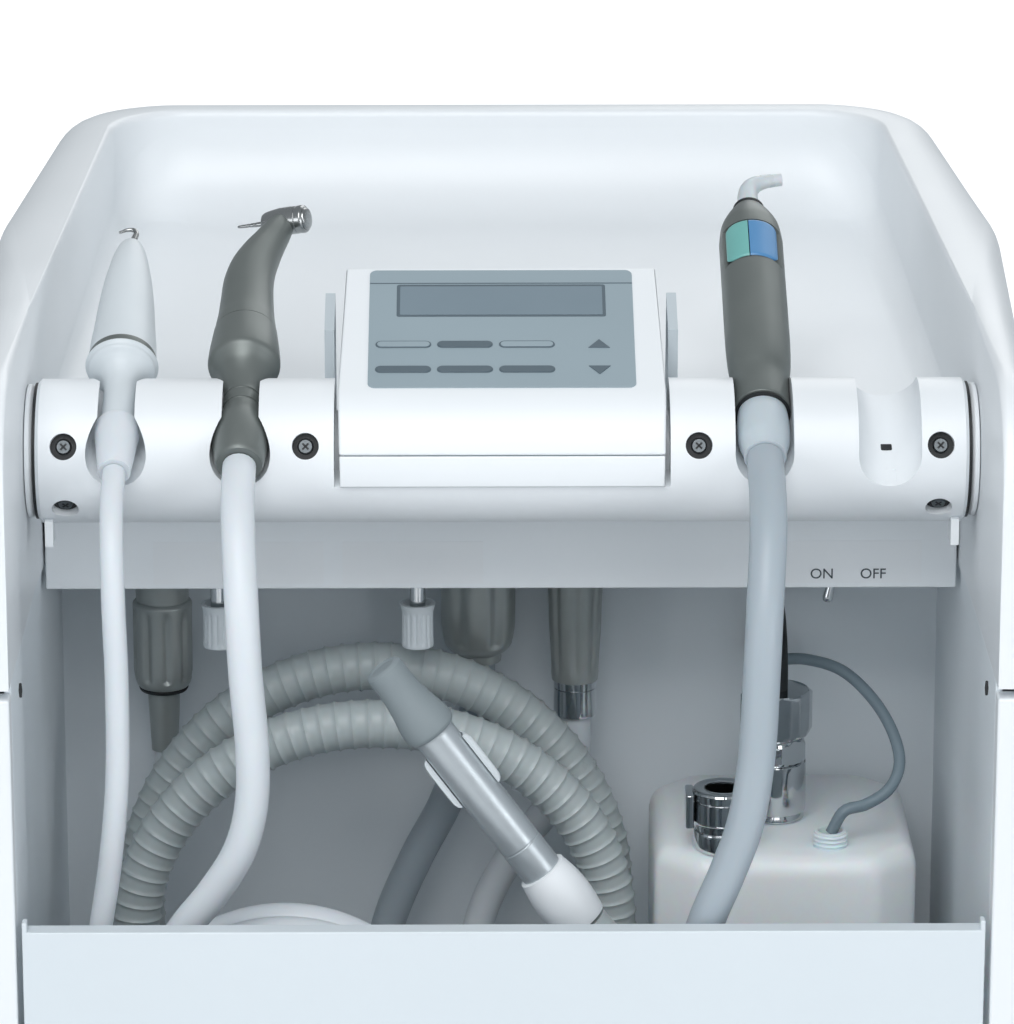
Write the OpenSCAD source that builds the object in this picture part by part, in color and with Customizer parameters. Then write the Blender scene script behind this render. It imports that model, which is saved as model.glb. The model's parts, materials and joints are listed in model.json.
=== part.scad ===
// Portable dental unit: a wheeled cabinet with an instrument tray on top, a holder bar with a tilting
// console across its front, and an open compartment for the water bottle and the suction hose.
// X runs to the right, Y to the back, Z up. The origin is on the floor under the middle of the cabinet.

/* [Cabinet] */
// Height of the tray's rim above the floor
rim_z = 620; // [600:1:660]
// Depth of the cabinet, front to back
cabinet_d = 390; // [380:1:410]
// Outer width at the front edges of the side walls
front_w = 306; // [302:1:316]
// Outer width where the sides bulge most
wide_w = 338; // [328:1:350]
// Outer width at the back
back_w = 322; // [310:1:332]
// Radius of the two back corners, seen from above
corner_r = 58; // [45:1:64]
// Clear width between the side walls
inner_w = 284; // [280:1:288]
// Width of the tray at its back
tray_back_w = 266; // [250:1:272]
// Thickness of the rim at the back
rim_back_t = 30; // [24:1:36]
// Wall thickness of the lower cabinet
wall_t = 4; // [3:0.5:6]
// Shadow gap between the upper shell and the lower cabinet
seam_gap = 3; // [2:0.5:5]
// Height of the rounded shoulder under the rim
shoulder_h = 30; // [20:1:36]

/* [Tray and compartment] */
// Height of the rim above the holder bar's axis
rim_over_bar = 40; // [36:1:46]
// Distance from the cabinet's front face back to the bar's axis
bar_setback = 87; // [84:1:92]
// Height of the tray floor's front edge below the bar's axis
tray_drop = 12; // [10:1:16]
// Rise of the tray floor from front to back
tray_rise = 20; // [14:1:24]
// Thickness of the tray floor
tray_t = 4; // [3:0.5:6]
// Radius of the cove between the tray floor and its back wall
cove_r = 26; // [18:1:30]
// Depth of the compartment's back wall behind the bar's axis
comp_back = 110; // [108:1:116]
// Depth of the compartment's floor below the bar's axis
comp_drop = 268; // [266:1:280]
// Sheet thickness of the compartment lining
liner_t = 2; // [1.5:0.5:3]
// Set back of the apron behind the bar's axis
apron_y = 33; // [31:1:36]
// Depth of the apron's lower edge below the bar's axis
apron_drop = 54; // [52:1:58]
// Thickness of the apron
apron_t = 3; // [2:0.5:4]

/* [Holder bar] */
// Radius of the holder bar
bar_r = 21.6; // [21:0.1:22.4]
// Running gap between the bar and its end discs
bar_gap = 1; // [0.6:0.1:1.6]
// Thickness of an end disc
disc_t = 2.5; // [2:0.1:4]
// Angle of the instruments above the horizontal
hp_tilt = 24; // [22:1:26]
// Height of the instrument axes above the bar's axis
hp_rise = 14; // [13.5:0.1:15]
// Radius of the round seats for the scaler and the motor
seat_r = 9; // [8.8:0.1:10]
// Width of the necks above the round seats
neck_w = 11; // [10.5:0.5:13]
// Width of the syringe slot
syringe_slot_w = 17.4; // [17:0.1:19]
// Width of the spare slot
spare_slot_w = 18.7; // [17:0.1:20]
// Place of the scaler from the middle
scaler_x = -114.5; // [-117:0.5:-112]
// Place of the motor handpiece from the middle
motor_x = -77.7; // [-80:0.1:-76]
// Place of the syringe from the middle
syringe_x = 77.8; // [76:0.1:80]
// Place of the spare slot from the middle
spare_x = 115; // [112:0.5:118]

/* [Console] */
// Width of the console
console_w = 98.8; // [94:0.2:104]
// Length of the console's sloping face
face_l = 63; // [57:1:66]
// Angle of the console's face above the horizontal
face_tilt = 22; // [18:1:26]
// Depth of the console at its back edge
console_t = 22; // [18:1:24]
// Radius of the console's round front
console_r = 23; // [22.6:0.1:25]
// Radius of the bar's core inside the console
core_r = 12; // [10:0.5:13]
// Clearance between the console and the core
core_gap = 0.35; // [0.3:0.05:0.5]

/* [Front panel] */
// Top edge of the front panel below the bar's axis
panel_drop = 121; // [114:1:126]
// Bottom edge of the front panel above the floor
panel_bottom = 110; // [104:1:120]
// Gap between the front panel and the side walls
panel_gap = 1.8; // [1.2:0.1:3]
// Sheet thickness of the front panel
panel_t = 2; // [1.5:0.5:3]

/* [Castors] */
// Radius of the castor wheels
wheel_r = 28; // [25:0.5:30]
// Width of the castor wheels
wheel_w = 20; // [16:1:24]
// Trail of the wheel behind its swivel
trail = 18; // [14:1:22]
// Height of the underside of the base plate
base_z = 71; // [69:1:78]
// Thickness of the base plate
base_t = 4; // [3:0.5:6]
// Radius of a castor's stem
stem_r = 6; // [5:0.5:8]
// Place of the castors to each side
castor_x = 116; // [110:1:120]
// Place of the castors to the front and the back
castor_y = 148; // [140:1:152]

/* [Suction] */
// Outer diameter of the ribbed suction hose
suction_d = 16; // [15:0.2:16.4]
// Bore of the suction hose
suction_bore = 10; // [8:0.5:11]
// Depth of the hose's ribs
rib_h = 0.9; // [0.5:0.1:1.2]
// Number of ribs on the suction hose
ribs = 150; // [100:1:200]
// Radius of the standing loops, side to side
loop_rx = 75; // [72:1:76]
// Rise of the first loop above its middle
loop_up_a = 68; // [64:1:70]
// Rise of the second loop above its middle
loop_up_b = 78; // [74:1:80]
// Place of the loops' middle from the unit's middle
loop_x = -40; // [-42:1:-38]
// Depth of the loops' middle below the bar's axis
loop_drop = 167; // [165:1:170]

/* [Hoses] */
// Diameter of the scaler's hose
scaler_hose_d = 7; // [6:0.2:7.4]
// Diameter of the motor's hose
motor_hose_d = 10; // [9:0.2:10.4]
// Diameter of the syringe's hose
syringe_hose_d = 11; // [10:0.2:11.2]
// Diameter of the level sensor's cable
cable_d = 3.7; // [3:0.1:4.2]

/* [Water bottle] */
// Width of the water bottle
bottle_w = 82; // [76:1:84]
// Depth of the water bottle
bottle_d = 84; // [78:1:88]
// Height of the water bottle's top face
bottle_h = 131; // [124:1:136]
// Place of the bottle's middle to the right
bottle_x = 89; // [87:0.5:91]
// Place of the bottle's middle behind the bar's axis
bottle_y = 58; // [56:1:60]
// Bore of the open water coupling
coupling_bore = 11; // [10:0.5:12]

/* [Hidden] */

$fn = 48;
// a hair that cuts run past a face
e = 0.5;
// small clearance between pieces that are seated
seat = 0.3;

y_front = -cabinet_d/2;
y_back = cabinet_d/2;
bar_y = y_front + bar_setback;
bar_z = rim_z - rim_over_bar;
half_in = inner_w/2;
disc_in = half_in - disc_t;
bar_half = disc_in - bar_gap;
// the seam between the two mouldings, just above the apron's lower edge
seam_drop = apron_drop - 7;
shell_bottom = bar_z - seam_drop;
cabinet_top = shell_bottom - seam_gap;
cabinet_bottom = base_z + base_t;
comp_floor = bar_z - comp_drop;
tray_back_y = y_back - rim_back_t;
// where an instrument's axis meets the front of the bar
slot_front = 21;
slot_z = hp_rise - slot_front*tan(hp_tilt);
// the slope at which the console's lower edge lies on the bar
ledge_tilt = 15;

white = [0.93, 0.95, 0.965];
cool_white = [0.88, 0.91, 0.93];
pale_grey = [0.75, 0.79, 0.81];
mid_grey = [0.56, 0.6, 0.62];
taupe = [0.45, 0.46, 0.45];
dark = [0.12, 0.13, 0.14];
steel = [0.72, 0.74, 0.76];

// ---------- curves and skins ----------

function unit(v) = v/norm(v);
function mix(a, b, t) = a + (b - a)*t;
function ease(t) = t*t*(3 - 2*t);

// points of the arc of radius r that rounds the corner b between a and c
function corner(a, b, c, r, n) =
    let (u = unit(a - b), v = unit(c - b), h = acos(u*v)/2, m = b + unit(u + v)*r/sin(h),
         p = b + u*r/tan(h) - m, q = b + v*r/tan(h) - m, w = 180 - 2*h)
    [for (i = [0:n]) m + (p*sin(w*(1 - i/n)) + q*sin(w*i/n))/sin(w)];

// an open line of points whose inner corners are rounded by the radii r
function rounded(p, r, n = 6) =
    [for (i = [0:len(p) - 1]) each r[i] == 0 ? [p[i]] : corner(p[i - 1], p[i], p[i + 1], r[i], n)];

// a smooth curve through hand-placed points, with a point about every step
function through(p, step) = let (n = len(p))
    concat([for (i = [0:n - 2]) let (k = max(1, round(norm(p[i + 1] - p[i])/step)),
        a = p[max(i - 1, 0)], b = p[i], c = p[i + 1], d = p[min(i + 2, n - 1)])
        for (j = [0:k - 1]) let (t = j/k)
            (2*b + (c - a)*t + (2*a - 5*b + 4*c - d)*t*t + (3*b - a - 3*c + d)*t*t*t)/2], [p[n - 1]]);

// n + 1 points at even lengths along a line of points
function lengths(p) = [for (i = 0, s = 0; i < len(p); i = i + 1, s = s + (i < len(p) ? norm(p[i] - p[i - 1]) : 0)) s];
function point_at(p, c, s, k) = k >= len(p) - 2 || c[k + 1] >= s
    ? mix(p[k], p[k + 1], (s - c[k])/(c[k + 1] - c[k])) : point_at(p, c, s, k + 1);
function even(p, n) = let (c = lengths(p)) [for (i = [0:n]) point_at(p, c, c[len(p) - 1]*i/n, 0)];

// rings of the given radii square to a line of points, turned as little as possible from one to the next
function headings(p) = let (n = len(p) - 1) [for (i = [0:n]) unit(p[min(i + 1, n)] - p[max(i - 1, 0)])];
function square_to(u, t) = unit(u - (u*t)*t);
function rings(p, r, sides) = let (t = headings(p), n = len(p),
    u = [for (i = 0, a = square_to(abs(t[0].z) > 0.9 ? [1, 0, 0] : [0, 0, 1], t[0]); i < n;
         i = i + 1, a = square_to(a, t[min(i, n - 1)])) a])
    [for (i = [0:n - 1]) let (v = cross(t[i], u[i]), q = is_list(r) ? r[i] : r)
        [for (k = [0:sides - 1]) let (w = 360*k/sides) p[i] + q*(cos(w)*u[i] + sin(w)*v)]];

// triangles between the rings f[0..n-1] of m points, numbered from b
function bands(n, m, b = 0) = [for (i = [0:n - 2]) for (k = [0:m - 1]) let (j = (k + 1)%m)
    each [[b + i*m + k, b + (i + 1)*m + k, b + (i + 1)*m + j], [b + i*m + k, b + (i + 1)*m + j, b + i*m + j]]];
function flipped(f) = [for (t = f) [t[2], t[1], t[0]]];

// a closed skin over a row of rings
module skin(r) {
    n = len(r);
    m = len(r[0]);
    polyhedron([for (q = r) each q], concat(bands(n, m),
        [[for (k = [0:m - 1]) k]], [[for (k = [m - 1:-1:0]) (n - 1)*m + k]]));
}

// a round cord along a line of points
module cord(p, d, sides = 8) skin(rings(p, d/2, sides));

// least gap between the far stretches of one wound tube
function self_gap(p, d) = min([for (i = [0:3:len(p) - 1]) for (j = [i + ceil(4*d/norm(p[1] - p[0])):3:len(p) - 1])
    norm(p[i] - p[j])]) - d;
function run(p) = lengths(p)[len(p) - 1];
module measure(name, p, d) echo(str(name, ": length ", run(p), " mm, least gap to itself ", self_gap(p, d), " mm"));

// ---------- frames of reference ----------

// the holder bar's axis, from which everything above the castors is placed
module at_bar() translate([0, bar_y, bar_z]) children();

// an instrument's axis: Z runs up it from the front of the bar, and -Y is its upper side
module at_axis(x) at_bar() translate([x, -slot_front, slot_z]) rotate([hp_tilt - 90, 0, 0]) children();
function on_axis(x, s) = [x, -slot_front + s*cos(hp_tilt), slot_z + s*sin(hp_tilt)];

// a solid of revolution from [radius, height] pairs
module turned(profile) rotate_extrude() polygon(profile);

// ---------- cabinet ----------

// outline of the cabinet from the left front edge round the back to the right one
side_bend = 300;
bulge_y = 70;
function outline(inset = 0) = rounded([[-front_w/2 + inset, y_front], [-wide_w/2 + inset, bulge_y],
    [-back_w/2 + inset, y_back - inset], [back_w/2 - inset, y_back - inset], [wide_w/2 - inset, bulge_y],
    [front_w/2 - inset, y_front]], [0, side_bend, corner_r - inset/2, corner_r - inset/2, side_bend, 0], 7);
tray_bend = 200;
tray_corner_r = 36;
tray_narrows_y = bar_y + 15;
function tray_outline(grow = 0) = rounded([[-half_in - grow, y_front], [-half_in - grow, tray_narrows_y],
    [-tray_back_w/2 - grow, tray_back_y + grow], [tray_back_w/2 + grow, tray_back_y + grow],
    [half_in + grow, tray_narrows_y], [half_in + grow, y_front]],
    [0, tray_bend, tray_corner_r, tray_corner_r, tray_bend, 0], 7);

// cross-section of the wall between the tray's outline and the cabinet's, w wide: outside first
rim_edge_r = 2.5;
function wall_section(w) = let (a = 0.75*w, h = shell_bottom - rim_z)
    concat([[w, h]], [for (q = [0:18:90]) [w - a + a*cos(q), -shoulder_h*(1 - sin(q))]],
        [for (q = [90:45:180]) [rim_edge_r + rim_edge_r*cos(q), -rim_edge_r*(1 - sin(q))]], [[0, h]]);

module shell_wall() {
    o = outline();
    i = tray_outline();
    skin([for (k = [0:len(o) - 1]) let (w = norm(o[k] - i[k]), n = (o[k] - i[k])/w)
        [for (c = wall_section(w)) [i[k].x + n.x*c.x, i[k].y + n.y*c.x, rim_z + c.y]]]);
}

// side view of the tray floor with its cove, from the lip behind the bar to the back wall
tray_lip_y = bar_r + 3;
tray_lip_h = 8;
function tray_section() = let (y1 = tray_back_y - bar_y, y0 = tray_lip_y, s = atan(tray_rise/(y1 - y0)),
    yc = y1 - cove_r, zc = -tray_drop + (yc - y0)*tan(s) + cove_r/cos(s))
    concat([[y0, -tray_drop - tray_lip_h], [y0, -tray_drop]],
        [for (q = [270 + s:(90 - s)/6:360]) [yc + cove_r*cos(q), zc + cove_r*sin(q)]],
        [[y1 + 3, zc], [y1 + 3, -tray_drop - tray_t], [apron_y - seat, -tray_drop - tray_t],
         [apron_y - seat, -tray_drop - tray_lip_h]]);

front_round = 34;
module upper_shell() color(white) difference() {
    union() {
        shell_wall();
        intersection() {
            at_bar() rotate([90, 0, 90]) linear_extrude(wide_w, center = true) polygon(tray_section());
            translate([0, 0, shell_bottom]) linear_extrude(rim_over_bar + seam_drop) polygon(tray_outline(1));
        }
    }
    // the front ends of the side walls are rounded up to the rim
    translate([0, y_front, rim_z]) rotate([90, 0, 90]) linear_extrude(wide_w + 2*e, center = true) difference() {
        translate([-e, -front_round]) square(front_round + e);
        translate([front_round, -front_round]) circle(front_round);
    }
}

flange_d = 8;
rear_open_w = 180;
rear_open_z = [130, 470];
module lower_cabinet() color(white) difference() {
    translate([0, 0, cabinet_bottom]) linear_extrude(cabinet_top - cabinet_bottom) polygon(outline());
    // the hollow inside, behind the front flanges
    translate([0, 0, cabinet_bottom - e]) linear_extrude(cabinet_top - cabinet_bottom + 2*e) intersection() {
        polygon(outline(wall_t));
        translate([-wide_w/2, y_front + flange_d]) square([wide_w, cabinet_d]);
    }
    // the front opening above the plinth
    translate([-half_in, y_front - e, panel_bottom]) cube([inner_w, flange_d + 2*e, cabinet_top]);
    // the opening for the rear cover
    translate([-rear_open_w/2, y_back - 3*wall_t, rear_open_z[0]])
        cube([rear_open_w, 4*wall_t, rear_open_z[1] - rear_open_z[0]]);
}

// the rear cover fills its opening and laps it inside, with rows of louvres cut through
louvres = 9;
cover_lap = 8;
inlet_w = 31;
inlet_h = 25;
inlet_x = 58;
inlet_z = 160;
rocker_w = 22;
rocker_h = 13;
rocker_z = inlet_z + 34;
module rear_cover() color(white) difference() {
    union() {
        translate([-rear_open_w/2 + seat, y_back - wall_t, rear_open_z[0] + seat])
            cube([rear_open_w - 2*seat, wall_t, rear_open_z[1] - rear_open_z[0] - 2*seat]);
        translate([-rear_open_w/2 - cover_lap, y_back - wall_t - 2, rear_open_z[0] - cover_lap])
            cube([rear_open_w + 2*cover_lap, 2, rear_open_z[1] - rear_open_z[0] + 2*cover_lap]);
    }
    for (i = [0:louvres - 1]) for (x = [-42, 42])
        translate([x - 33, y_back - 4*wall_t, rear_open_z[1] - 50 - 14*i]) cube([66, 6*wall_t, 5]);
    translate([inlet_x - inlet_w/2, y_back - 4*wall_t, inlet_z - inlet_h/2]) cube([inlet_w, 6*wall_t, inlet_h]);
    translate([inlet_x - rocker_w/2, y_back - 4*wall_t, rocker_z - rocker_h/2])
        cube([rocker_w, 6*wall_t, rocker_h]);
}

// lining of the compartment: back wall, floor and two sides, bent from one sheet
port_x = 36;
port_y = 66;
port_h = 20;
sensor_pos = [86, -96];
module compartment_liner() color(cool_white) {
    at_bar() {
        translate([-half_in - liner_t, comp_back, -comp_drop - liner_t])
            cube([inner_w + 2*liner_t, liner_t, comp_drop + liner_t - seam_drop]);
        // the back wall runs on up between the walls of the upper shell
        translate([-half_in + 5, comp_back, -seam_drop - e])
            cube([inner_w - 10, liner_t, seam_drop + bulk_z + bulk_t + e]);
        translate([-half_in - liner_t, -bar_setback + flange_d, -comp_drop - liner_t])
            cube([inner_w + 2*liner_t, comp_back + bar_setback - flange_d + e, liner_t]);
        for (m = [0, 1]) mirror([m, 0, 0])
            translate([half_in, -bar_setback + flange_d, -comp_drop - e])
                cube([liner_t, comp_back + bar_setback - flange_d + e, comp_drop - seam_drop + e]);
        // the cuff in the floor that the suction hose ends in
        translate([port_x, port_y, -comp_drop - e]) difference() {
            cylinder(r = suction_d/2 + 1.5, h = port_h + e);
            translate([0, 0, 2]) cylinder(r = suction_bore/2, h = port_h);
        }
    }
}

apron_w = inner_w - 3;
module apron() color(cool_white) at_bar() {
    translate([-apron_w/2, apron_y, -apron_drop]) cube([apron_w, apron_t, apron_drop - tray_drop - tray_t - seat]);
    // folded lower edge
    translate([-apron_w/2, apron_y, -apron_drop]) cube([apron_w, 8, 1.5]);
}

// plate behind the apron that the hoses, valves and spray knobs hang from
bulk_z = -46;
bulk_t = 3;
plug_y = 88;
plug_x = [-108, -7, 24];
plug_r = [9.5, 12.4, 8.7];
socket_h = 6;
knob_x = [-88, -26];
knob_y = 47;
toggle_x = 105;
toggle_y = 45;
module bulkhead() color(pale_grey) at_bar() difference() {
    union() {
        translate([0, -bar_y, bulk_z]) linear_extrude(bulk_t) intersection() {
            polygon(tray_outline(-seat));
            translate([-half_in, bar_y + apron_y + apron_t]) square([inner_w, comp_back - apron_y - apron_t]);
        }
        for (i = [0:2]) translate([plug_x[i], plug_y, bulk_z - socket_h]) cylinder(r = plug_r[i] + 1.2, h = socket_h + e);
    }
    for (x = knob_x) translate([x, knob_y, bulk_z - e]) cylinder(r = 4, h = bulk_t + 2*e);
    translate([toggle_x, toggle_y, bulk_z - e]) cylinder(r = 4, h = bulk_t + 2*e);
}

// ---------- base and castors ----------

boss_h = 16;
module base_plate() color(mid_grey) difference() {
    union() {
        translate([0, 0, base_z]) linear_extrude(base_t) intersection() {
            polygon(outline(1));
            translate([-wide_w/2, y_front + 1]) square([wide_w, cabinet_d]);
        }
        for (x = [-1, 1]) for (y = [-1, 1])
            translate([x*castor_x, y*castor_y, base_z]) cylinder(r = 2*stem_r, h = boss_h);
    }
    for (x = [-1, 1]) for (y = [-1, 1])
        translate([x*castor_x, y*castor_y, base_z - e]) cylinder(r = stem_r + 0.05, h = boss_h + 2*e);
}

// a castor fork: its stem, its crown and two cheeks with the axle between them
axle_r = 4;
cheek_t = 2.5;
cheek_in = wheel_w/2 + 1;
crown_t = 6;
crown_z = base_z - seat - crown_t;
module castor_fork(x, y) color(steel) translate([x*castor_x, y*castor_y, 0]) {
    translate([0, 0, crown_z + crown_t - e]) cylinder(r = stem_r, h = boss_h + seat + e - 1);
    translate([0, 0, crown_z]) cylinder(r = cheek_in + cheek_t + 1, h = crown_t);
    for (m = [0, 1]) mirror([m, 0, 0]) translate([cheek_in, 0, 0]) rotate([90, 0, 90]) linear_extrude(cheek_t)
        polygon([[-9, crown_z + 1], [trail - 8, wheel_r - 7], [trail, wheel_r - 9], [trail + 8, wheel_r - 6],
            [trail + 9, wheel_r + 4], [13, crown_z + 1]]);
    translate([-cheek_in - cheek_t - 1, trail, wheel_r]) rotate([0, 90, 0])
        cylinder(r = axle_r, h = 2*(cheek_in + cheek_t + 1));
}

module castor_wheel(x, y) color(mid_grey) translate([x*castor_x, y*castor_y + trail, wheel_r])
    rotate([0, 90, 0]) turned(let (h = wheel_w/2, b = axle_r + 0.05, t = 3) [[b, -h], [b + 4, -h], [b + 5, -h + t],
        [wheel_r - 7, -h + t], [wheel_r - 5.5, -h + 0.5], [wheel_r - 3, -h + 0.5], [wheel_r - 0.8, -h + 2.5],
        [wheel_r, -h + 5], [wheel_r, h - 5], [wheel_r - 0.8, h - 2.5], [wheel_r - 3, h - 0.5],
        [wheel_r - 5.5, h - 0.5], [wheel_r - 7, h - t], [b + 5, h - t], [b + 4, h], [b, h]]);

module castor_fork_fl() castor_fork(-1, -1);
module castor_fork_fr() castor_fork(1, -1);
module castor_fork_bl() castor_fork(-1, 1);
module castor_fork_br() castor_fork(1, 1);
module castor_wheel_fl() castor_wheel(-1, -1);
module castor_wheel_fr() castor_wheel(1, -1);
module castor_wheel_bl() castor_wheel(-1, 1);
module castor_wheel_br() castor_wheel(1, 1);

// ---------- holder bar ----------

// the shape that is cut from the bar for an instrument: a seat along its axis and a neck above it
module slot(x, r, w) translate([x, -slot_front, slot_z]) rotate([hp_tilt - 90, 0, 0]) {
    translate([0, 0, -3*bar_r]) cylinder(r = r, h = 6*bar_r);
    translate([-w/2, -3*bar_r, -3*bar_r]) cube([w, 3*bar_r, 6*bar_r]);
}

screw_x = half_in - 12;
mid_screw_x = 58.3;
screw_spots = [[-screw_x, 19], [-screw_x, -38], [screw_x, 19], [screw_x, -38], [-mid_screw_x, 19], [mid_screw_x, 19]];
well_r = 4;
well_d = 3;
screw_r = 2.4;
console_cut = console_w/2 + 0.5;
tab_w = 2.4;
spigot_r = 6;
spigot_l = 8;
chamfer = 1;
module holder_bar() color(white) at_bar() difference() {
    union() {
        rotate([0, 90, 0]) turned([[0, -bar_half], [bar_r - chamfer, -bar_half], [bar_r, -bar_half + chamfer],
            [bar_r, bar_half - chamfer], [bar_r - chamfer, bar_half], [0, bar_half]]);
        // the tab under each end that hooks behind the shell
        for (m = [0, 1]) mirror([m, 0, 0])
            translate([screw_x + 4, -bar_r*0.7, -bar_r - 4]) cube([tab_w, 10, 8]);
    }
    slot(scaler_x, seat_r, neck_w);
    slot(motor_x, seat_r, neck_w);
    slot(syringe_x, syringe_slot_w/2, syringe_slot_w);
    slot(spare_x, spare_slot_w/2, spare_slot_w);
    // room for the console round the core, above its ledge
    intersection() {
        rotate([0, 90, 0]) difference() {
            cylinder(r = bar_r + 2, h = 2*console_cut, center = true);
            cylinder(r = core_r, h = 2*console_cut + 1, center = true);
        }
        rotate([ledge_tilt, 0, 0]) translate([-console_cut, -2*bar_r, 0]) cube([2*console_cut, 4*bar_r, 2*bar_r]);
    }
    // wells and pilot holes of the screws
    for (s = screw_spots) rotate([-s[1], 0, 0]) translate([s[0], -bar_r, 0]) rotate([90, 0, 0]) {
        translate([0, 0, -well_d]) cylinder(r = well_r, h = well_d + 2);
        translate([0, 0, -well_d - 8]) cylinder(r = screw_r/2 + 0.05, h = 10);
    }
    for (m = [0, 1]) mirror([m, 0, 0]) translate([bar_half - spigot_l - 1, 0, 0]) rotate([0, 90, 0])
        cylinder(r = spigot_r + 0.05, h = spigot_l + 2);
    // the small window of the sensor in the spare slot
    translate([spare_x - 1, -slot_front + 2, slot_z - spare_slot_w/2 - 4]) cube([3.2, 5, 8]);
}

// pan-head screws with a cross recess
module holder_screws() color(steel) at_bar() for (s = screw_spots)
    rotate([-s[1], 0, 0]) translate([s[0], -bar_r, 0]) rotate([90, 0, 0]) difference() {
        union() {
            translate([0, 0, -well_d]) cylinder(r1 = screw_r, r2 = screw_r*0.8, h = 1.6);
            translate([0, 0, -well_d - 7]) cylinder(r = screw_r/2, h = 7 + e);
        }
        for (a = [0, 90]) rotate([0, 0, a + 45]) translate([-1.3, -0.3, -well_d + 0.8]) cube([2.6, 0.6, 2]);
    }

disc_r = 20;
module end_discs() color(white) at_bar() for (m = [0, 1]) mirror([m, 0, 0]) {
    translate([disc_in, 0, 0]) rotate([0, 90, 0]) turned([[0, 0], [disc_r - 1, 0], [disc_r, 1],
        [disc_r, disc_t - 0.25], [0, disc_t - 0.25]]);
    translate([disc_in - bar_gap - spigot_l, 0, 0]) rotate([0, 90, 0]) cylinder(r = spigot_r, h = spigot_l + bar_gap + e);
}

// ---------- console ----------

// a point at distance r from the bar's axis, q degrees up from the back
function polar(r, q) = [r*cos(q), r*sin(q)];
// a point s up the console's face and n out of it
face_q = 90 + face_tilt;
function on_face(s, n = 0) = polar(console_r + n, face_q) + polar(s, face_tilt);
console_back_q = 42;
console_edge_r = 3;
function console_section() = concat(
    [for (q = [180 + ledge_tilt:-(180 + ledge_tilt - face_q)/10:face_q]) polar(console_r, q)],
    rounded([on_face(0), on_face(face_l), on_face(face_l, -console_t), polar(bar_r + 4, console_back_q)],
        [0, console_edge_r, console_edge_r, 0], 4),
    [for (q = [console_back_q:(180 + ledge_tilt - console_back_q)/12:180 + ledge_tilt])
        polar(core_r + core_gap, q)]);

groove_q = 187;
module console_case() color(white) at_bar() difference() {
    rotate([90, 0, 90]) linear_extrude(console_w, center = true) polygon(console_section());
    // the seam between the cover and the base, low on the front
    rotate([groove_q - 180, 0, 0]) translate([-console_w, -console_r - 1, -0.3]) cube([2*console_w, 1.6, 0.6]);
    // the shallow bed of the keypad film
    film_place() translate([-film_w/2, 0, -film_t]) cube([film_w, film_l, 3*film_t]);
}

film_w = 80;
film_l = face_l - 4;
film_t = 0.5;
key_x = [-29.5, -11, 7.6];
key_s = [8.9, 21.3];
arrow_x = 29.2;
key_l = 16.6;
key_h = 3.3;
window_w = 61.4;
window_s = 43.7;
window_l = 14.4;
module film_place() rotate([face_tilt, 0, 0]) translate([0, 0.2, console_r]) children();
module keypad_film() color(mid_grey) at_bar() film_place() difference() {
    union() {
        translate([-film_w/2 + 0.1, 0.1, -film_t]) cube([film_w - 0.2, film_l - 0.2, 2*film_t]);
        for (x = key_x) for (y = key_s) translate([x, y, film_t/2]) {
            translate([-key_l/2 + key_h/2, -key_h/2, 0]) cube([key_l - key_h, key_h, film_t/2 + 0.25]);
            for (m = [-1, 1]) translate([m*(key_l - key_h)/2, 0, 0]) cylinder(r = key_h/2, h = film_t/2 + 0.25);
        }
        for (i = [0, 1]) translate([arrow_x, key_s[i], film_t/2]) linear_extrude(film_t/2 + 0.25)
            polygon([[-3.3, i == 1 ? -2.2 : 2.2], [3.3, i == 1 ? -2.2 : 2.2], [0, i == 1 ? 2.6 : -2.6]]);
    }
    // the display window
    translate([-window_w/2, window_s - window_l/2, film_t - 0.2]) cube([window_w, window_l, 1]);
}

// the cradle behind the bar that the console tips down into
cheek_gap = 1.2;
cradle_t = 3;
cradle_w = console_w/2 + cheek_gap + cradle_t;
cradle_z = -tray_drop + 26*tray_rise/(tray_back_y - bar_y - tray_lip_y) + 0.3;
module console_cradle() color(mid_grey) at_bar() {
    translate([-cradle_w, tray_lip_y, cradle_z]) cube([2*cradle_w, 26, 2.5]);
    translate([-cradle_w, tray_lip_y, -tray_drop + 0.5]) cube([2*cradle_w, 3, 3]);
    for (m = [0, 1]) mirror([m, 0, 0]) translate([cradle_w - cradle_t, 0, 0]) rotate([90, 0, 90])
        linear_extrude(cradle_t) polygon([[tray_lip_y, cradle_z], [tray_lip_y + 26, cradle_z],
            on_face(face_l - 8, -5), on_face(36, -5)]);
}

// ---------- scaler ----------

scaler_out = -8;
module scaler_boot() color(pale_grey) at_axis(scaler_x) turned([[0, scaler_out], [4.6, scaler_out], [5.2, scaler_out + 3],
    [6.5, 8], [6.5, 11.5], [5, 14], [0, 14]]);
module scaler_body() color(white) at_axis(scaler_x) {
    turned([[0, 14], [5, 14], [5, 32], [6.6, 36], [8.4, 39], [10.1, 41], [10.2, 46], [9.9, 52], [9.3, 59], [8.6, 69],
        [7.6, 79.5], [6.7, 86], [5.7, 92], [4.6, 97], [3.3, 100.5], [1.9, 102], [0, 102]]);
    // the raised grip ring
    translate([0, 0, 41.8]) turned([[9, 0], [10.35, 0.3], [10.4, 1.3], [10.35, 2.4], [9, 2.7]]);
}
// the hooked tip: a threaded foot, a shank that leans back and a fine point
module scaler_tip() color(steel) at_axis(scaler_x) {
    turned([[0, 102], [1.8, 102], [1.6, 102.8], [0, 102.8]]);
    skin(rings(even(through([[0.4, 0, 102.4], [0.9, 0, 105], [1.3, 0, 107.2], [0.6, 0, 108.7], [-1.4, 0, 108.9],
        [-4, 0, 107.6]], 2), 10), [for (i = [0:10]) 1.15 - 0.075*i], 8));
}

// ---------- motor handpiece ----------

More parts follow.
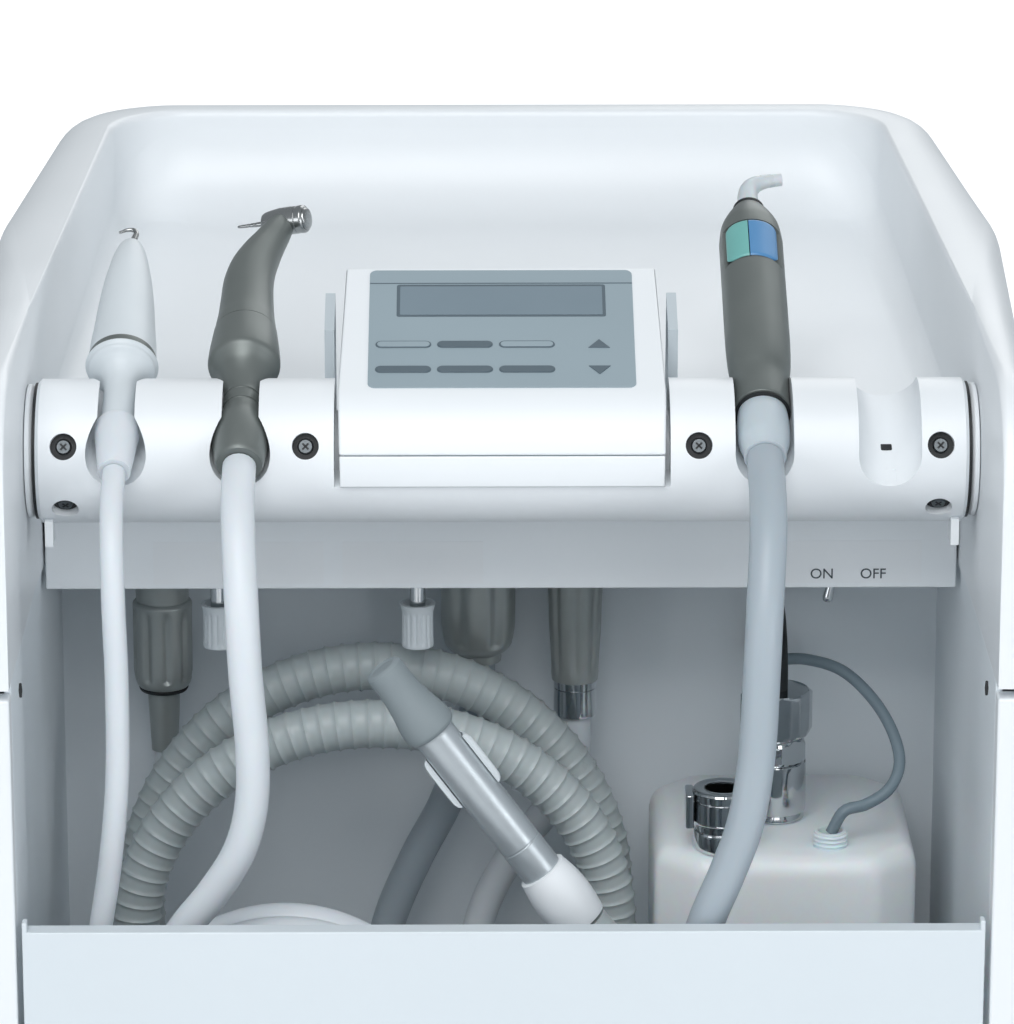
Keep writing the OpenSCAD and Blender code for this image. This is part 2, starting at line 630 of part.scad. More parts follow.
motor_out = -5;
module micromotor() color(taupe) at_axis(motor_x) turned([[0, motor_out], [6.4, motor_out], [7.6, motor_out + 2], [8.2, 6],
    [7.6, 12], [6.2, 17], [5.6, 20], [5.6, 27], [7.2, 33], [8.4, 38.5], [10.4, 42], [10.7, 46], [10.4, 51],
    [9.6, motor_top], [0, motor_top]]);
motor_top = 57;
head_dx = 10.6;
head_s = 113.3;
head_r = 4.35;
head_l = 7.2;
head_turn = 19.2;
head_lean = 13.5;
// the head lies across the neck: Z runs out of its cap, from the middle of the head
module at_head() at_axis(motor_x) translate([head_dx, 0, head_s]) rotate([0, 0, -head_turn])
    rotate([0, 90 + head_lean, 0]) children();
module contra_angle() color(steel) difference() {
    union() {
        at_axis(motor_x) skin(rings([[0, 0, motor_top], [0, 0, 60.5], [0, 0, 65], [0, 0, 73], [0.2, 0, 81],
            [1.3, 0, 88.5], [3.4, 0, 95.5], [5.7, 0, 101.5], [8.1, 0, 107.5], [head_dx, 0, head_s]],
            [9.5, 9.1, 8.6, 8.1, 7.75, 7.2, 6.4, 5.5, 4.7, 3.6], 20));
        at_head() turned([[0, -head_l], [2.6, -head_l], [3.3, -head_l + 0.8], [3.7, -head_l + 2.5],
            [head_r, -head_l + 6.5], [head_r, head_l - 0.5], [head_r - 0.5, head_l], [0, head_l]]);
    }
    // the bore of the chuck and the seat of its button
    at_head() translate([0, 0, -head_l - 1]) cylinder(r = bur_r + 0.05, h = head_l);
    at_head() translate([0, 0, head_l - 1.6]) cylinder(r = head_r - 0.8, h = 3);
}
bur_r = 0.8;
module bur() color(steel) at_head() translate([0, 0, -head_l]) rotate([180, 0, 0])
    turned([[0, -4], [bur_r, -4], [bur_r, 1.5], [0.7, 3], [0.6, 5], [0.55, 7], [0.4, 9], [0, 9.2]]);
module chuck_button() color(steel) at_head() translate([0, 0, head_l - 0.6])
    turned([[0, 0], [head_r - 0.85, 0], [head_r - 0.85, 0.8], [head_r - 1.3, 1.3], [0, 1.5]]);

// ---------- syringe ----------

syringe_out = -6;
module syringe_boot() color(pale_grey) at_axis(syringe_x) turned([[0, syringe_out], [5.8, syringe_out], [6.2, -3],
    [7.7, 5], [7.8, 14], [7.4, 18], [0, 18]]);
button_s = 92.2;
button_h = 17.6;
button_y = -5.5;
module syringe_body() color(taupe) at_axis(syringe_x) difference() {
    turned([[0, 18], [7.9, 18], [7.9, 19.6], [8.3, 19.8], [8.4, 22], [8.45, 32], [8.55, 38.5], [9.3, 41.5],
        [9.6, 44], [9.8, 48], [9.9, 56], [9.9, 100], [9.6, 104], [9, 108], [7.4, 112.4], [5.3, 116.6],
        [4.9, 117.4], [4.9, 118.9], [4.3, 119.3], [0, 119.3]]);
    // the bed of the two buttons on the upper side
    translate([-9, -12, button_s - button_h/2 - 0.3]) cube([18, 12 + button_y, button_h + 0.6]);
}
// a button: half of the rounded upper side, lifted off its bed by its travel
module syringe_button(side) at_axis(syringe_x) intersection() {
    translate([0, 0, button_s - button_h/2]) cylinder(r = 10.6, h = button_h);
    translate([side > 0 ? 0.15 : -8.65, -12, button_s - button_h/2]) cube([8.5, 12 + button_y - 1.5, button_h]);
}
module air_button() color([0.35, 0.56, 0.75]) syringe_button(1);
module water_button() color([0.46, 0.71, 0.69]) syringe_button(-1);
module syringe_nozzle() color([0.85, 0.87, 0.88]) at_axis(syringe_x) {
    skin(rings([[0, 0, 119.3], [0, 0, 122], [0, 0, 125.5], [0.5, 0, 128.5], [1.9, 0, 131], [4.2, 0, 132.7],
        [7, 0, 133.6], [9.8, 0, 134.1]], [3.3, 3.3, 3.2, 3.05, 2.7, 2.3, 2, 1.8], 12));
}

// ---------- suction ----------

suction_place = [-35.8, -45, -53.7];
suction_lean = 36.5;
// Z runs up the suction handpiece from its tip's mouth, so the handpiece lies below it
module at_suction() at_bar() translate(suction_place) rotate([0, 180 - suction_lean, 0]) children();
function on_suction(s) = suction_place + s*[sin(suction_lean), 0, -cos(suction_lean)];
module suction_tip() color(mid_grey) at_suction() difference() {
    turned([[0, 0], [4.9, 0], [5.7, 0.8], [6, 2], [6, 9], [7, 16], [8.1, 21], [8.1, 24], [7.2, 25.3], [0, 25.3]]);
    translate([0, 0, -1]) cylinder(r = 3.6, h = 24);
}
module suction_body() color(steel) at_suction() difference() {
    turned([[0, 25.3], [6.2, 25.3], [6.4, 26], [6.4, 78.6], [6, 79.6], [0, 79.6]]);
    translate([0, 0, 24]) cylinder(r = 4, h = 60);
}
// the slide valve: a saddle behind the body that shows along both its sides
slide_s = 31;
slide_l = 18;
module suction_slide() color(white) at_suction() translate([0, 0, slide_s]) intersection() {
    difference() {
        cylinder(r = 9, h = slide_l);
        translate([0, 0, -1]) cylinder(r = 6.4 + seat, h = slide_l + 2);
    }
    translate([-8.4, -2, 0]) cube([16.8, 12, slide_l]);
}
suction_end = 100;
module suction_cap() color(white) at_suction() difference() {
    turned([[0, 79.6], [7.3, 79.6], [7.6, 81], [8.8, 88], [8.9, 93], [8.3, 99], [7.8, suction_end], [0, suction_end]]);
    translate([0, 0, 78]) cylinder(r = 4, h = 30);
}

// ---------- hoses and cable ----------

// each handpiece hose: out of its boot, down behind the front panel, wound, and up to its plug
scaler_front = [[-114.5, -42, -5], [-114, -53, -15], [-113.5, -58, -32], [-113, -58, -55], [-113.6, -57, -85],
    [-116.4, -55, -112], [-120, -56, -135], [-121.5, -58, -155]];
scaler_back = [[-122, -76, -198], [-124, -74, -220], [-127, -66, -243], [-129, -48, -258], [-130, -25, -263.5],
    [-130, 5, -263.5], [-130, 35, -263.5], [-129, 60, -260], [-126, 80, -246], [-121, 88, -222], [-115, 89, -190],
    [-109.5, 88, -160], [-108, 88, -140]];
motor_front = [[-77.7, -40, -4], [-77, -53, -14], [-76, -62, -30], [-75, -65, -50], [-73.5, -63, -72],
    [-74, -60, -91], [-78, -57, -107], [-86, -54, -121], [-95.5, -51.5, -134], [-102.5, -50, -148]];
motor_back = [[-45, -20, -231], [-24, -8, -231], [-12, 14, -231], [-10, 38, -230], [-10, 60, -224], [-10, 79, -206],
    [-6, 88, -182], [5, 89, -160], [16, 88, -145], [24, 88, -127]];
syringe_front = [[77.8, -40, -4], [77.2, -54, -13], [76, -64, -28], [75, -69, -48], [73.8, -71, -72],
    [70.8, -73, -92], [65.5, -73.2, -108], [59.3, -72.8, -124], [54.5, -74.5, -142], [52.8, -77, -165]];
syringe_back = [[-18, -49, -244], [-34, -38, -244], [-41, -20, -244], [-42, 5, -244], [-43, 30, -244], [-43, 50, -241],
    [-42, 72, -228], [-40, 85, -206], [-36, 88, -184], [-27, 88, -162], [-17, 88, -142], [-8, 88, -114]];
cable_route = [[86, 96, -96], [88, 84, -94], [97, 75, -91], [108, 67, -92], [117, 58, -98], [123, 49, -106],
    [125, 41, -114], [121.5, 35, -120.5], [114, 31.5, -124.5], [107, 29.5, -126], [103, 29, -133]];

// a wind: middle, radius, first and last angle, and the first and last place from front to back
scaler_wind = [[-91, -178], 30, 180, 180 + 3*360, -60, -76];
motor_wind = [[-65, -185], 46, 155, 155 + 2*360 + 115, -50, -23.5];
syringe_wind = [[2, -192], 52, 0, -2*360 - 90, -79, -52.5];
turn_steps = 24;
function wind(w) = let (n = round(turn_steps*abs(w[3] - w[2])/360)) [for (i = [0:n]) let (a = mix(w[2], w[3], i/n))
    [w[0][0] + w[1]*cos(a), mix(w[4], w[5], i/n), w[0][1] + w[1]*sin(a)]];

plug_out = [-125, -95, -113];
function plug_end(i) = [plug_x[i], plug_y, plug_out[i]];
hose_gap = 0.4;
function whole(x, out, front, w, back, i, step) = concat([on_axis(x, out - hose_gap)], through(front, step), wind(w),
    through(back, step), [plug_end(i)]);
scaler_path = whole(scaler_x, scaler_out, scaler_front, scaler_wind, scaler_back, 0, 17);
motor_path = whole(motor_x, motor_out, motor_front, motor_wind, motor_back, 2, 20);
syringe_path = whole(syringe_x, syringe_out, syringe_front, syringe_wind, syringe_back, 1, 22);

module scaler_hose() color(pale_grey) at_bar() {
    measure("scaler hose", scaler_path, scaler_hose_d);
    cord(scaler_path, scaler_hose_d, 6);
}
module motor_hose() color(pale_grey) at_bar() {
    measure("motor hose", motor_path, motor_hose_d);
    cord(motor_path, motor_hose_d, 6);
}
module syringe_hose() color(pale_grey) at_bar() {
    measure("syringe hose", syringe_path, syringe_hose_d);
    cord(syringe_path, syringe_hose_d, 6);
}
module sensor_cable() color(mid_grey) at_bar() cord(through(cable_route, 10), cable_d, 8);

// the suction hose leaves its handpiece, stands in two loops and drops into the cuff in the floor
loop_down = comp_drop - loop_drop - suction_d/2 - seat;
first_a = -15;
// how far back the loops stand at each quarter turn
loop_places = [[-720, port_y], [-630, 63], [-540, 60], [-450, 50], [-360, 42], [-270, 36], [-180, 34]];
function loop_y(a) = a > -180 ? mix(-35, 34, ease((first_a - a)/(first_a + 180))) : lookup(a, loop_places);
function loop_at(a) = let (up = a > -360 ? loop_up_a : loop_up_b)
    [loop_x + loop_rx*cos(a), loop_y(a), -loop_drop + (sin(a) > 0 ? up : loop_down)*sin(a)];
suction_line = concat([on_suction(suction_end + 0.7), [33.2, -44.6, -147], [38, -40.5, -164]],
    [for (a = [first_a:-15:-720]) loop_at(a)],
    [[port_x - 0.5, port_y, -190], [port_x, port_y, -212], [port_x, port_y, -comp_drop + port_h + suction_d],
     [port_x, port_y, -comp_drop + port_h]]);
suction_path = even(through(suction_line, 8), 2*ribs);

// a ribbed hose: each rib is a crest ring and a root ring, and the bore runs through
module ribbed(p, d, h, bore, sides = 8) {
    n = len(p);
    outer = rings(p, [for (i = [0:n - 1]) i%2 == 1 ? d/2 : d/2 - h], sides);
    q = [for (i = [0:5:n - 1]) p[i]];
    inner = rings(q, bore/2, sides);
    b = n*sides;
    m = len(q);
    polyhedron([for (r = concat(outer, inner)) each r], concat(bands(n, sides), flipped(bands(m, sides, b)),
        [for (k = [0:sides - 1]) let (j = (k + 1)%sides) each [[k, j, b + j], [k, b + j, b + k]]],
        [for (k = [0:sides - 1]) let (j = (k + 1)%sides, o = (n - 1)*sides, i = b + (m - 1)*sides)
            each [[o + j, o + k, i + k], [o + j, i + k, i + j]]]));
}
module suction_hose() color([0.6, 0.63, 0.64]) at_bar() {
    measure("suction hose", suction_path, suction_d);
    ribbed(suction_path, suction_d, rib_h, suction_bore);
}

// ---------- plugs, valves and couplings ----------

module hanging(i) at_bar() translate([plug_x[i], plug_y, 0]) children();
plug_top = bulk_z - socket_h;
// a fluted sleeve over a coupling, with a rounded end and a bend relief
module scaler_plug() color(taupe) hanging(0) difference() {
    turned([[0, plug_top], [8.4, plug_top], [8.4, -74], [9.5, -76], [9.5, -98], [8.6, -102], [6.4, -104], [5.2, -105],
        [4.9, -112], [4.2, plug_out[0]], [0, plug_out[0]]]);
    for (a = [0:30:330]) rotate([0, 0, a]) translate([10.3, 0, -99]) cylinder(r = 1.4, h = 21);
}
module syringe_plug() color(taupe) hanging(1)
    turned([[0, plug_top], [12.4, plug_top], [12.4, -80], [11.8, -85], [9.6, -90], [7.6, -92], [7.2, plug_out[1]],
        [0, plug_out[1]]]);
module motor_plug() color(taupe) hanging(2)
    turned([[0, plug_top], [8.7, plug_top], [8.7, -80], [7.4, -101], [6.8, -101.4], [6.8, plug_out[2]],
        [0, plug_out[2]]]);

knob_top = -63;
knob_l = 14;
knob_r = 5.3;
valve_r = 2.5;
lever_tilt = 12;
lever_pivot = bulk_z - 3;
// spray valves with their nuts, and the bush of the toggle switch
module valve_bodies() color(steel) at_bar() {
    for (x = knob_x) translate([x, knob_y, 0]) {
        translate([0, 0, bulk_z - 1]) cylinder(r = 3.95, h = bulk_t + 6);
        translate([0, 0, bulk_z - 9]) cylinder(r = 5, h = 9, $fn = 6);
        translate([0, 0, knob_top - 4]) cylinder(r = valve_r, h = 12);
    }
    translate([toggle_x, toggle_y, 0]) difference() {
        union() {
            translate([0, 0, bulk_z - 2]) cylinder(r = 3.95, h = bulk_t + 8);
            translate([0, 0, bulk_z - 2]) cylinder(r = 5.5, h = 2, $fn = 6);
        }
        translate([0, 0, bulk_z - 3]) cylinder(r1 = 3.3, r2 = 2.4, h = 8);
    }
}
// a ribbed spray knob on its stem
module spray_knob(i) color(white) at_bar() translate([knob_x[i], knob_y, knob_top - knob_l]) difference() {
    turned([[0, 0], [knob_r - 0.7, 0], [knob_r - 0.2, 0.8], [knob_r - 0.5, knob_l - 2], [knob_r + 0.3, knob_l],
        [0, knob_l]]);
    for (a = [0:30:330]) rotate([0, 0, a]) translate([knob_r + 0.5, 0, -1]) cylinder(r = 1, h = knob_l - 1);
    translate([0, 0, knob_l - 5]) cylinder(r = valve_r + 0.05, h = 6);
}
module spray_knob_left() spray_knob(0);
module spray_knob_right() spray_knob(1);
// the bat lever of the spray switch, pivoted inside its bush
module toggle_lever() color(steel) at_bar() translate([toggle_x, toggle_y, lever_pivot + 3]) rotate([0, lever_tilt, 0]) {
    rotate([90, 0, 0]) cylinder(r = 1.2, h = 3.4, center = true);
    turned([[0, 1.6], [1, 1.2], [1.4, 0], [1, -3], [1.5, -13], [1.6, -15.5], [1, -16.6], [0, -16.8]]);
}

// ---------- water bottle ----------

bottle_bevel = 13;
neck = [102.8, 29];
neck_r = 5.2;
open_at = [69, 27];
line_at = [87, 56];
bottle_top = -comp_drop + bottle_h;
module bottle_block(inset, h) linear_extrude(h) let (w = bottle_w/2 - inset, d = bottle_d/2 - inset,
    b = bottle_bevel - inset/2) polygon([[-w + b, -d], [w - b, -d], [w, -d + b], [w, d - b], [w - b, d], [-w + b, d],
    [-w, d - b], [-w, -d + b]]);
module water_bottle() color([0.86, 0.9, 0.92]) at_bar() {
    translate([bottle_x, bottle_y, -comp_drop]) hull() {
        bottle_block(0, bottle_h - 5);
        bottle_block(1.5, bottle_h - 1.5);
        bottle_block(5, bottle_h);
    }
    // the threaded neck of the level sensor
    translate([neck[0], neck[1], bottle_top - e]) difference() {
        turned([[0, 0], [neck_r, 0], [neck_r, 1], [neck_r + 0.5, 1.5], [neck_r, 2], [neck_r + 0.5, 2.8], [neck_r, 3.4],
            [neck_r + 0.4, 4], [neck_r - 0.2, 4.8], [0, 4.8]]);
        translate([0, 0, 1.2]) cylinder(r = neck_r - 1.4, h = 10);
    }
}
// the open coupling: a collar with a latch plate round a socket for the filling line
module open_coupling() color(steel) at_bar() translate([open_at[0], open_at[1], bottle_top]) difference() {
    union() {
        turned([[0, 0], [8.4, 0], [8.8, 1], [9.2, 7], [9.8, 9], [9.8, 19], [9, 20], [0, 20]]);
        translate([-10, -7, 9]) cube([20, 14, 9]);
    }
    translate([0, 0, 2]) cylinder(r = coupling_bore/2, h = 20);
}
// the line coupling: a body, two hex nuts and the barb of the line into the back wall
module line_coupling() color(steel) at_bar() translate([line_at[0], line_at[1], bottle_top]) {
    turned([[0, 0], [8.6, 0], [8.6, 3], [9.6, 4], [9.6, 18], [8.8, 19], [0, 19]]);
    translate([0, 0, 18.5]) cylinder(r = 9.4, h = 8.5, $fn = 6);
    translate([0, 0, 26.5]) cylinder(r = 7.8, h = 2);
    translate([0, 0, 28]) rotate([0, 0, 30]) cylinder(r = 11.3, h = 14, $fn = 6);
    translate([0, 0, 41.5]) cylinder(r = 6, h = 2.5);
    skin(rings(through([[0, 0, 43], [0, 0, 48], [0, 4, 55], [0, 12, 60], [0, 24, 62],
        [0, comp_back - line_at[1], 62]], 6), 3.5, 10));
}
module sensor_plug() color(dark) at_bar() translate([cable_route[0].x, comp_back, cable_route[0].z]) rotate([90, 0, 0])
    turned([[0, 0], [6, 0], [6, 3], [4.2, 5], [4.2, 11], [3, comp_back - cable_route[0].y], [0, comp_back - cable_route[0].y]]);

// ---------- machinery ----------

deck = base_z + base_t;
module compressor() color(mid_grey) translate([-70, -70, deck]) {
    translate([-48, -44, 0]) cube([96, 88, 8]);
    translate([0, 0, 8]) cylinder(r = 40, h = 60);
    for (x = [-1, 1]) translate([x*22, 0, 67]) {
        cylinder(r = 17, h = 24);
        for (i = [0:3]) translate([0, 0, 24 + 5*i]) {
            cylinder(r = 13, h = 5.1);
            cylinder(r = 20, h = 2);
        }
        translate([0, 0, 44]) cylinder(r = 15, h = 8);
    }
}
module vacuum_pump() color(taupe) translate([70, -70, deck]) {
    translate([-45, -40, 0]) cube([90, 80, 8]);
    translate([0, 60, 52]) rotate([90, 0, 0]) cylinder(r = 36, h = 96);
    translate([0, -36, 52]) rotate([90, 0, 0]) cylinder(r = 42, h = 22);
    translate([-20, -28, 7]) cube([40, 70, 20]);
    translate([0, 0, 80]) cylinder(r = 9, h = 26);
}
module waste_tank() color(cool_white) translate([-50, 94, deck]) {
    linear_extrude(150) let (w = 56, d = 52, b = 16) polygon([[-w + b, -d], [w - b, -d], [w, -d + b], [w, d - b],
        [w - b, d], [-w + b, d], [-w, d - b], [-w, -d + b]]);
    translate([0, 0, 149]) cylinder(r = 30, h = 14);
    translate([0, 0, 162]) cylinder(r = 34, h = 12);
}
board_standoff = 8;
module control_board() color([0.2, 0.42, 0.3]) translate([-100, bar_y + comp_back + liner_t, comp_floor + 10]) {
    translate([0, board_standoff, 0]) cube([200, 2, 110]);
    for (x = [10, 190]) for (z = [10, 100]) translate([x, 0, z]) rotate([-90, 0, 0]) cylinder(r = 3, h = board_standoff + e);
    translate([20, board_standoff + 1.5, 20]) cube([50, 40, 45]);
    for (i = [0:4]) translate([90 + 20*i, board_standoff + 1.5, 70]) rotate([-90, 0, 0]) cylinder(r = 6, h = 22);
    translate([90, board_standoff + 1.5, 14]) cube([80, 12, 34]);
}
// the mains inlet with its three pins, and the frame of the power switch above it
module mains_inlet() color(dark) translate([inlet_x, y_back, 0]) {
    translate([0, 0, inlet_z]) difference() {
        translate([-inlet_w/2 + 0.2, -26, -inlet_h/2 + 0.2]) cube([inlet_w - 0.4, 26, inlet_h - 0.4]);
        translate([-12, -18, -8]) cube([24, 19, 16]);
    }
    for (x = [-7, 0, 7]) translate([x - 1, -19, inlet_z - (x == 0 ? -1 : 4)]) cube([2, 14, 4]);
    translate([0, 0, rocker_z]) difference() {
        translate([-rocker_w/2 + 0.2, -18, -rocker_h/2 + 0.2]) cube([rocker_w - 0.4, 18, rocker_h - 0.4]);
        translate([-rocker_w/2 + 1.7, -12, -rocker_h/2 + 1.7]) cube([rocker_w - 3.4, 13, rocker_h - 3.4]);
    }
}
rocker_tilt = 10;
module power_rocker() color(dark) translate([inlet_x, y_back - 6, rocker_z]) rotate([0, 0, rocker_tilt]) {
    linear_extrude(rocker_h - 4, center = true) polygon([[-8.4, -3], [8.4, -3], [8.4, 2.6], [0, 4.4], [-8.4, 2.6]]);
    cylinder(r = 2, h = rocker_h - 3.7, center = true);
}

// ---------- front panel ----------

panel_w = inner_w - 2*panel_gap;
panel_top = bar_z - panel_drop;
panel_h = panel_top - panel_bottom - seat;
fold_d = 6.5;
module front_panel() color(white) translate([0, y_front, panel_bottom + seat]) {
    translate([-panel_w/2, 0, 0]) cube([panel_w, panel_t, panel_h]);
    for (m = [0, 1]) mirror([m, 0, 0]) {
        translate([panel_w/2 - 1.5, 0, 0]) cube([1.5, fold_d, panel_h]);
        // the folded lip at each upper corner
        translate([panel_w/2 - 1.5, 0, panel_h - e]) cube([1.5, 4, 3 + e]);
    }
    translate([-panel_w/2, 0, panel_h - 1.5]) cube([panel_w, fold_d, 1.5]);
}

upper_shell();
lower_cabinet();
compartment_liner();
apron();
bulkhead();
base_plate();
rear_cover();
holder_bar();
end_discs();
holder_screws();
console_cradle();
console_case();
keypad_film();
scaler_body();
scaler_tip();
scaler_boot();
scaler_plug();
scaler_hose();
contra_angle();
bur();
chuck_button();
micromotor();
motor_plug();
motor_hose();
syringe_body();
syringe_boot();
syringe_nozzle();
air_button();
water_button();
syringe_plug();
syringe_hose();
suction_tip();
suction_body();
suction_slide();
suction_cap();
suction_hose();
valve_bodies();
spray_knob_left();
spray_knob_right();
toggle_lever();
water_bottle();
open_coupling();
line_coupling();
sensor_plug();
sensor_cable();
compressor();
vacuum_pump();
waste_tank();
control_board();
mains_inlet();
power_rocker();
front_panel();
castor_fork_fl();
castor_fork_fr();
castor_fork_bl();
castor_fork_br();
castor_wheel_fl();
castor_wheel_fr();
castor_wheel_bl();
castor_wheel_br();
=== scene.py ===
"""A portable dental unit: a white wheeled cabinet with an instrument tray, a holder bar with a keypad console, and
an open compartment with hoses, a suction handpiece and a water bottle. Lengths are in millimetres until a mesh is
made."""
import json

import bmesh
import bpy
import numpy as np
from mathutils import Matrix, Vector


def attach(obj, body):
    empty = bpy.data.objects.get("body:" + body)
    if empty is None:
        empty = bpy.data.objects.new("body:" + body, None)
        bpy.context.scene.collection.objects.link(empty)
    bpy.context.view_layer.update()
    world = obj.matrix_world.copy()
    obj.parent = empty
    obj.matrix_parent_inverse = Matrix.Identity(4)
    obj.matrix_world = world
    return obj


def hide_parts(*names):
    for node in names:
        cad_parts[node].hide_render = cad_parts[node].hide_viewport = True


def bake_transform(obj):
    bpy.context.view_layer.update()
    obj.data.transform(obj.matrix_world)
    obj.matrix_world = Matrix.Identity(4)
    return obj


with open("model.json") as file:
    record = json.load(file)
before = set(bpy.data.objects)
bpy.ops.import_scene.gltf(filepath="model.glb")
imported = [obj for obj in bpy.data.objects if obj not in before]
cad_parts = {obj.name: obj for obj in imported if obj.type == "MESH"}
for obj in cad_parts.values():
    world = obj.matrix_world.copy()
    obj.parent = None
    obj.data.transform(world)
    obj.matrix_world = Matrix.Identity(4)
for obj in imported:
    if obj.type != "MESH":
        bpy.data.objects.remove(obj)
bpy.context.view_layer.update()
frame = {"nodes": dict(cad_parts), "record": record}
NODES = frame["nodes"]
BODY_OF = {node: body for body, nodes in frame["record"]["behaviour"]["bodies"].items() for node in nodes}

# ---------------------------------------------------------------- camera, light and ground

BAR = np.array([0.0, -108.0, 580.0])


def camera_at(place, down, right, lens):
    """A camera at a place in metres, turned down and right by the given degrees from looking along +Y."""
    data = bpy.data.cameras.new("camera")
    data.lens = lens
    data.clip_end = 60
    camera = bpy.data.objects.new("camera", data)
    camera.location = place
    camera.rotation_euler = np.radians([90 - down, 0, -right])
    bpy.context.scene.collection.objects.link(camera)
    bpy.context.scene.camera = camera


camera_at((-0.010, -1.646, 1.019), 16.6, 0.43, 187.4)


def linear(colour):
    """sRGB hex to linear: a channel c is c/12.92 up to 0.04045, and ((c + 0.055)/1.055) to the power 2.4 above it."""
    channels = [int(colour[i:i + 2], 16)/255 for i in (1, 3, 5)]
    return [c/12.92 if c <= 0.04045 else ((c + 0.055)/1.055)**2.4 for c in channels] + [1.0]


def add(tree, kind, settings, inputs):
    """Adds a node with its settings, and fills its inputs, by name or number, with values or with other outputs."""
    node = tree.nodes.new(kind)
    for name, value in settings.items():
        setattr(node, name, value)
    for name, value in inputs.items():
        if isinstance(value, bpy.types.NodeSocket):
            tree.links.new(value, node.inputs[name])
        else:
            node.inputs[name].default_value = value
    return node


def area_lamp(name, place, target, size, watts, colour="#FFFFFF"):
    """A square lamp at a place that faces a target, both in metres."""
    data = bpy.data.lights.new(name, "AREA")
    data.size = size
    data.energy = watts
    data.color = linear(colour)[:3]
    lamp = bpy.data.objects.new(name, data)
    lamp.location = place
    lamp.rotation_euler = (lamp.location - Vector(target)).to_track_quat("Z", "Y").to_euler()
    bpy.context.scene.collection.objects.link(lamp)


area_lamp("lamp_key", (-0.3, -1.65, 2.4), (0, -0.1, 0.55), 1.5, 30)
area_lamp("lamp_front", (0.1, -2.05, 1.5), (0, -0.1, 0.4), 1.2, 7, "#FAFCFF")
area_lamp("lamp_left", (-1.9, -1.7, 0.8), (0, 0, 0.45), 0.9, 7, "#FAFCFF")
area_lamp("lamp_right", (1.9, -1.7, 0.8), (0, 0, 0.45), 0.9, 11, "#FAFCFF")
area_lamp("lamp_back", (0.8, 2.0, 1.9), (0, 0, 0.5), 1.8, 16)

world = bpy.data.worlds.new("studio")
bpy.context.scene.world = world
world.use_nodes = True
sky = world.node_tree
sky.nodes.clear()
seen = add(sky, "ShaderNodeLightPath", {}, {})
seen_or_mirrored = add(sky, "ShaderNodeMath", {"operation": "MAXIMUM"}, {0: seen.outputs["Is Camera Ray"],
                       1: seen.outputs["Is Transmission Ray"]})
light = add(sky, "ShaderNodeBackground", {}, {"Color": linear("#E6EEF4"), "Strength": 0.4})
white = add(sky, "ShaderNodeBackground", {}, {"Color": linear("#FFFFFF"), "Strength": 1.0})
choice = add(sky, "ShaderNodeMixShader", {}, {0: seen_or_mirrored.outputs[0], 1: light.outputs[0],
             2: white.outputs[0]})
add(sky, "ShaderNodeOutputWorld", {}, {"Surface": choice.outputs[0]})
bpy.context.scene.view_settings.view_transform = "Standard"

# ---------------------------------------------------------------- materials


def surface(name, colours, patch, rough, smudge, grain, height, shader=None):
    """A material whose colour drifts between two hex colours over patches, whose roughness drifts between two values
    over smudges, and whose surface has grains of a given size and height. Sizes are in millimetres."""
    material = bpy.data.materials.new(name)
    material.use_nodes = True
    tree = material.node_tree
    tree.nodes.clear()
    place = add(tree, "ShaderNodeTexCoord", {}, {}).outputs["Object"]
    drift = add(tree, "ShaderNodeTexNoise", {}, {"Vector": place, "Scale": 1000/patch, "Detail": 3.0})
    colour = add(tree, "ShaderNodeMix", {"data_type": "RGBA"}, {0: drift.outputs["Fac"], 6: linear(colours[0]),
                 7: linear(colours[1])})
    smear = add(tree, "ShaderNodeTexNoise", {}, {"Vector": place, "Scale": 1000/smudge, "Detail": 4.0})
    gloss = add(tree, "ShaderNodeMapRange", {}, {"Value": smear.outputs["Fac"], "From Min": 0.3, "From Max": 0.7,
                "To Min": rough[0], "To Max": rough[1]})
    grains = add(tree, "ShaderNodeTexNoise", {}, {"Vector": place, "Scale": 1000/grain, "Detail": 2.0})
    bump = add(tree, "ShaderNodeBump", {}, {"Height": grains.outputs["Fac"], "Distance": height/1000,
               "Strength": 0.6})
    body = add(tree, "ShaderNodeBsdfPrincipled", {}, {"Base Color": colour.outputs[2],
               "Roughness": gloss.outputs["Result"], "Normal": bump.outputs["Normal"], **(shader or {})})
    add(tree, "ShaderNodeOutputMaterial", {}, {"Surface": body.outputs[0]})
    return material


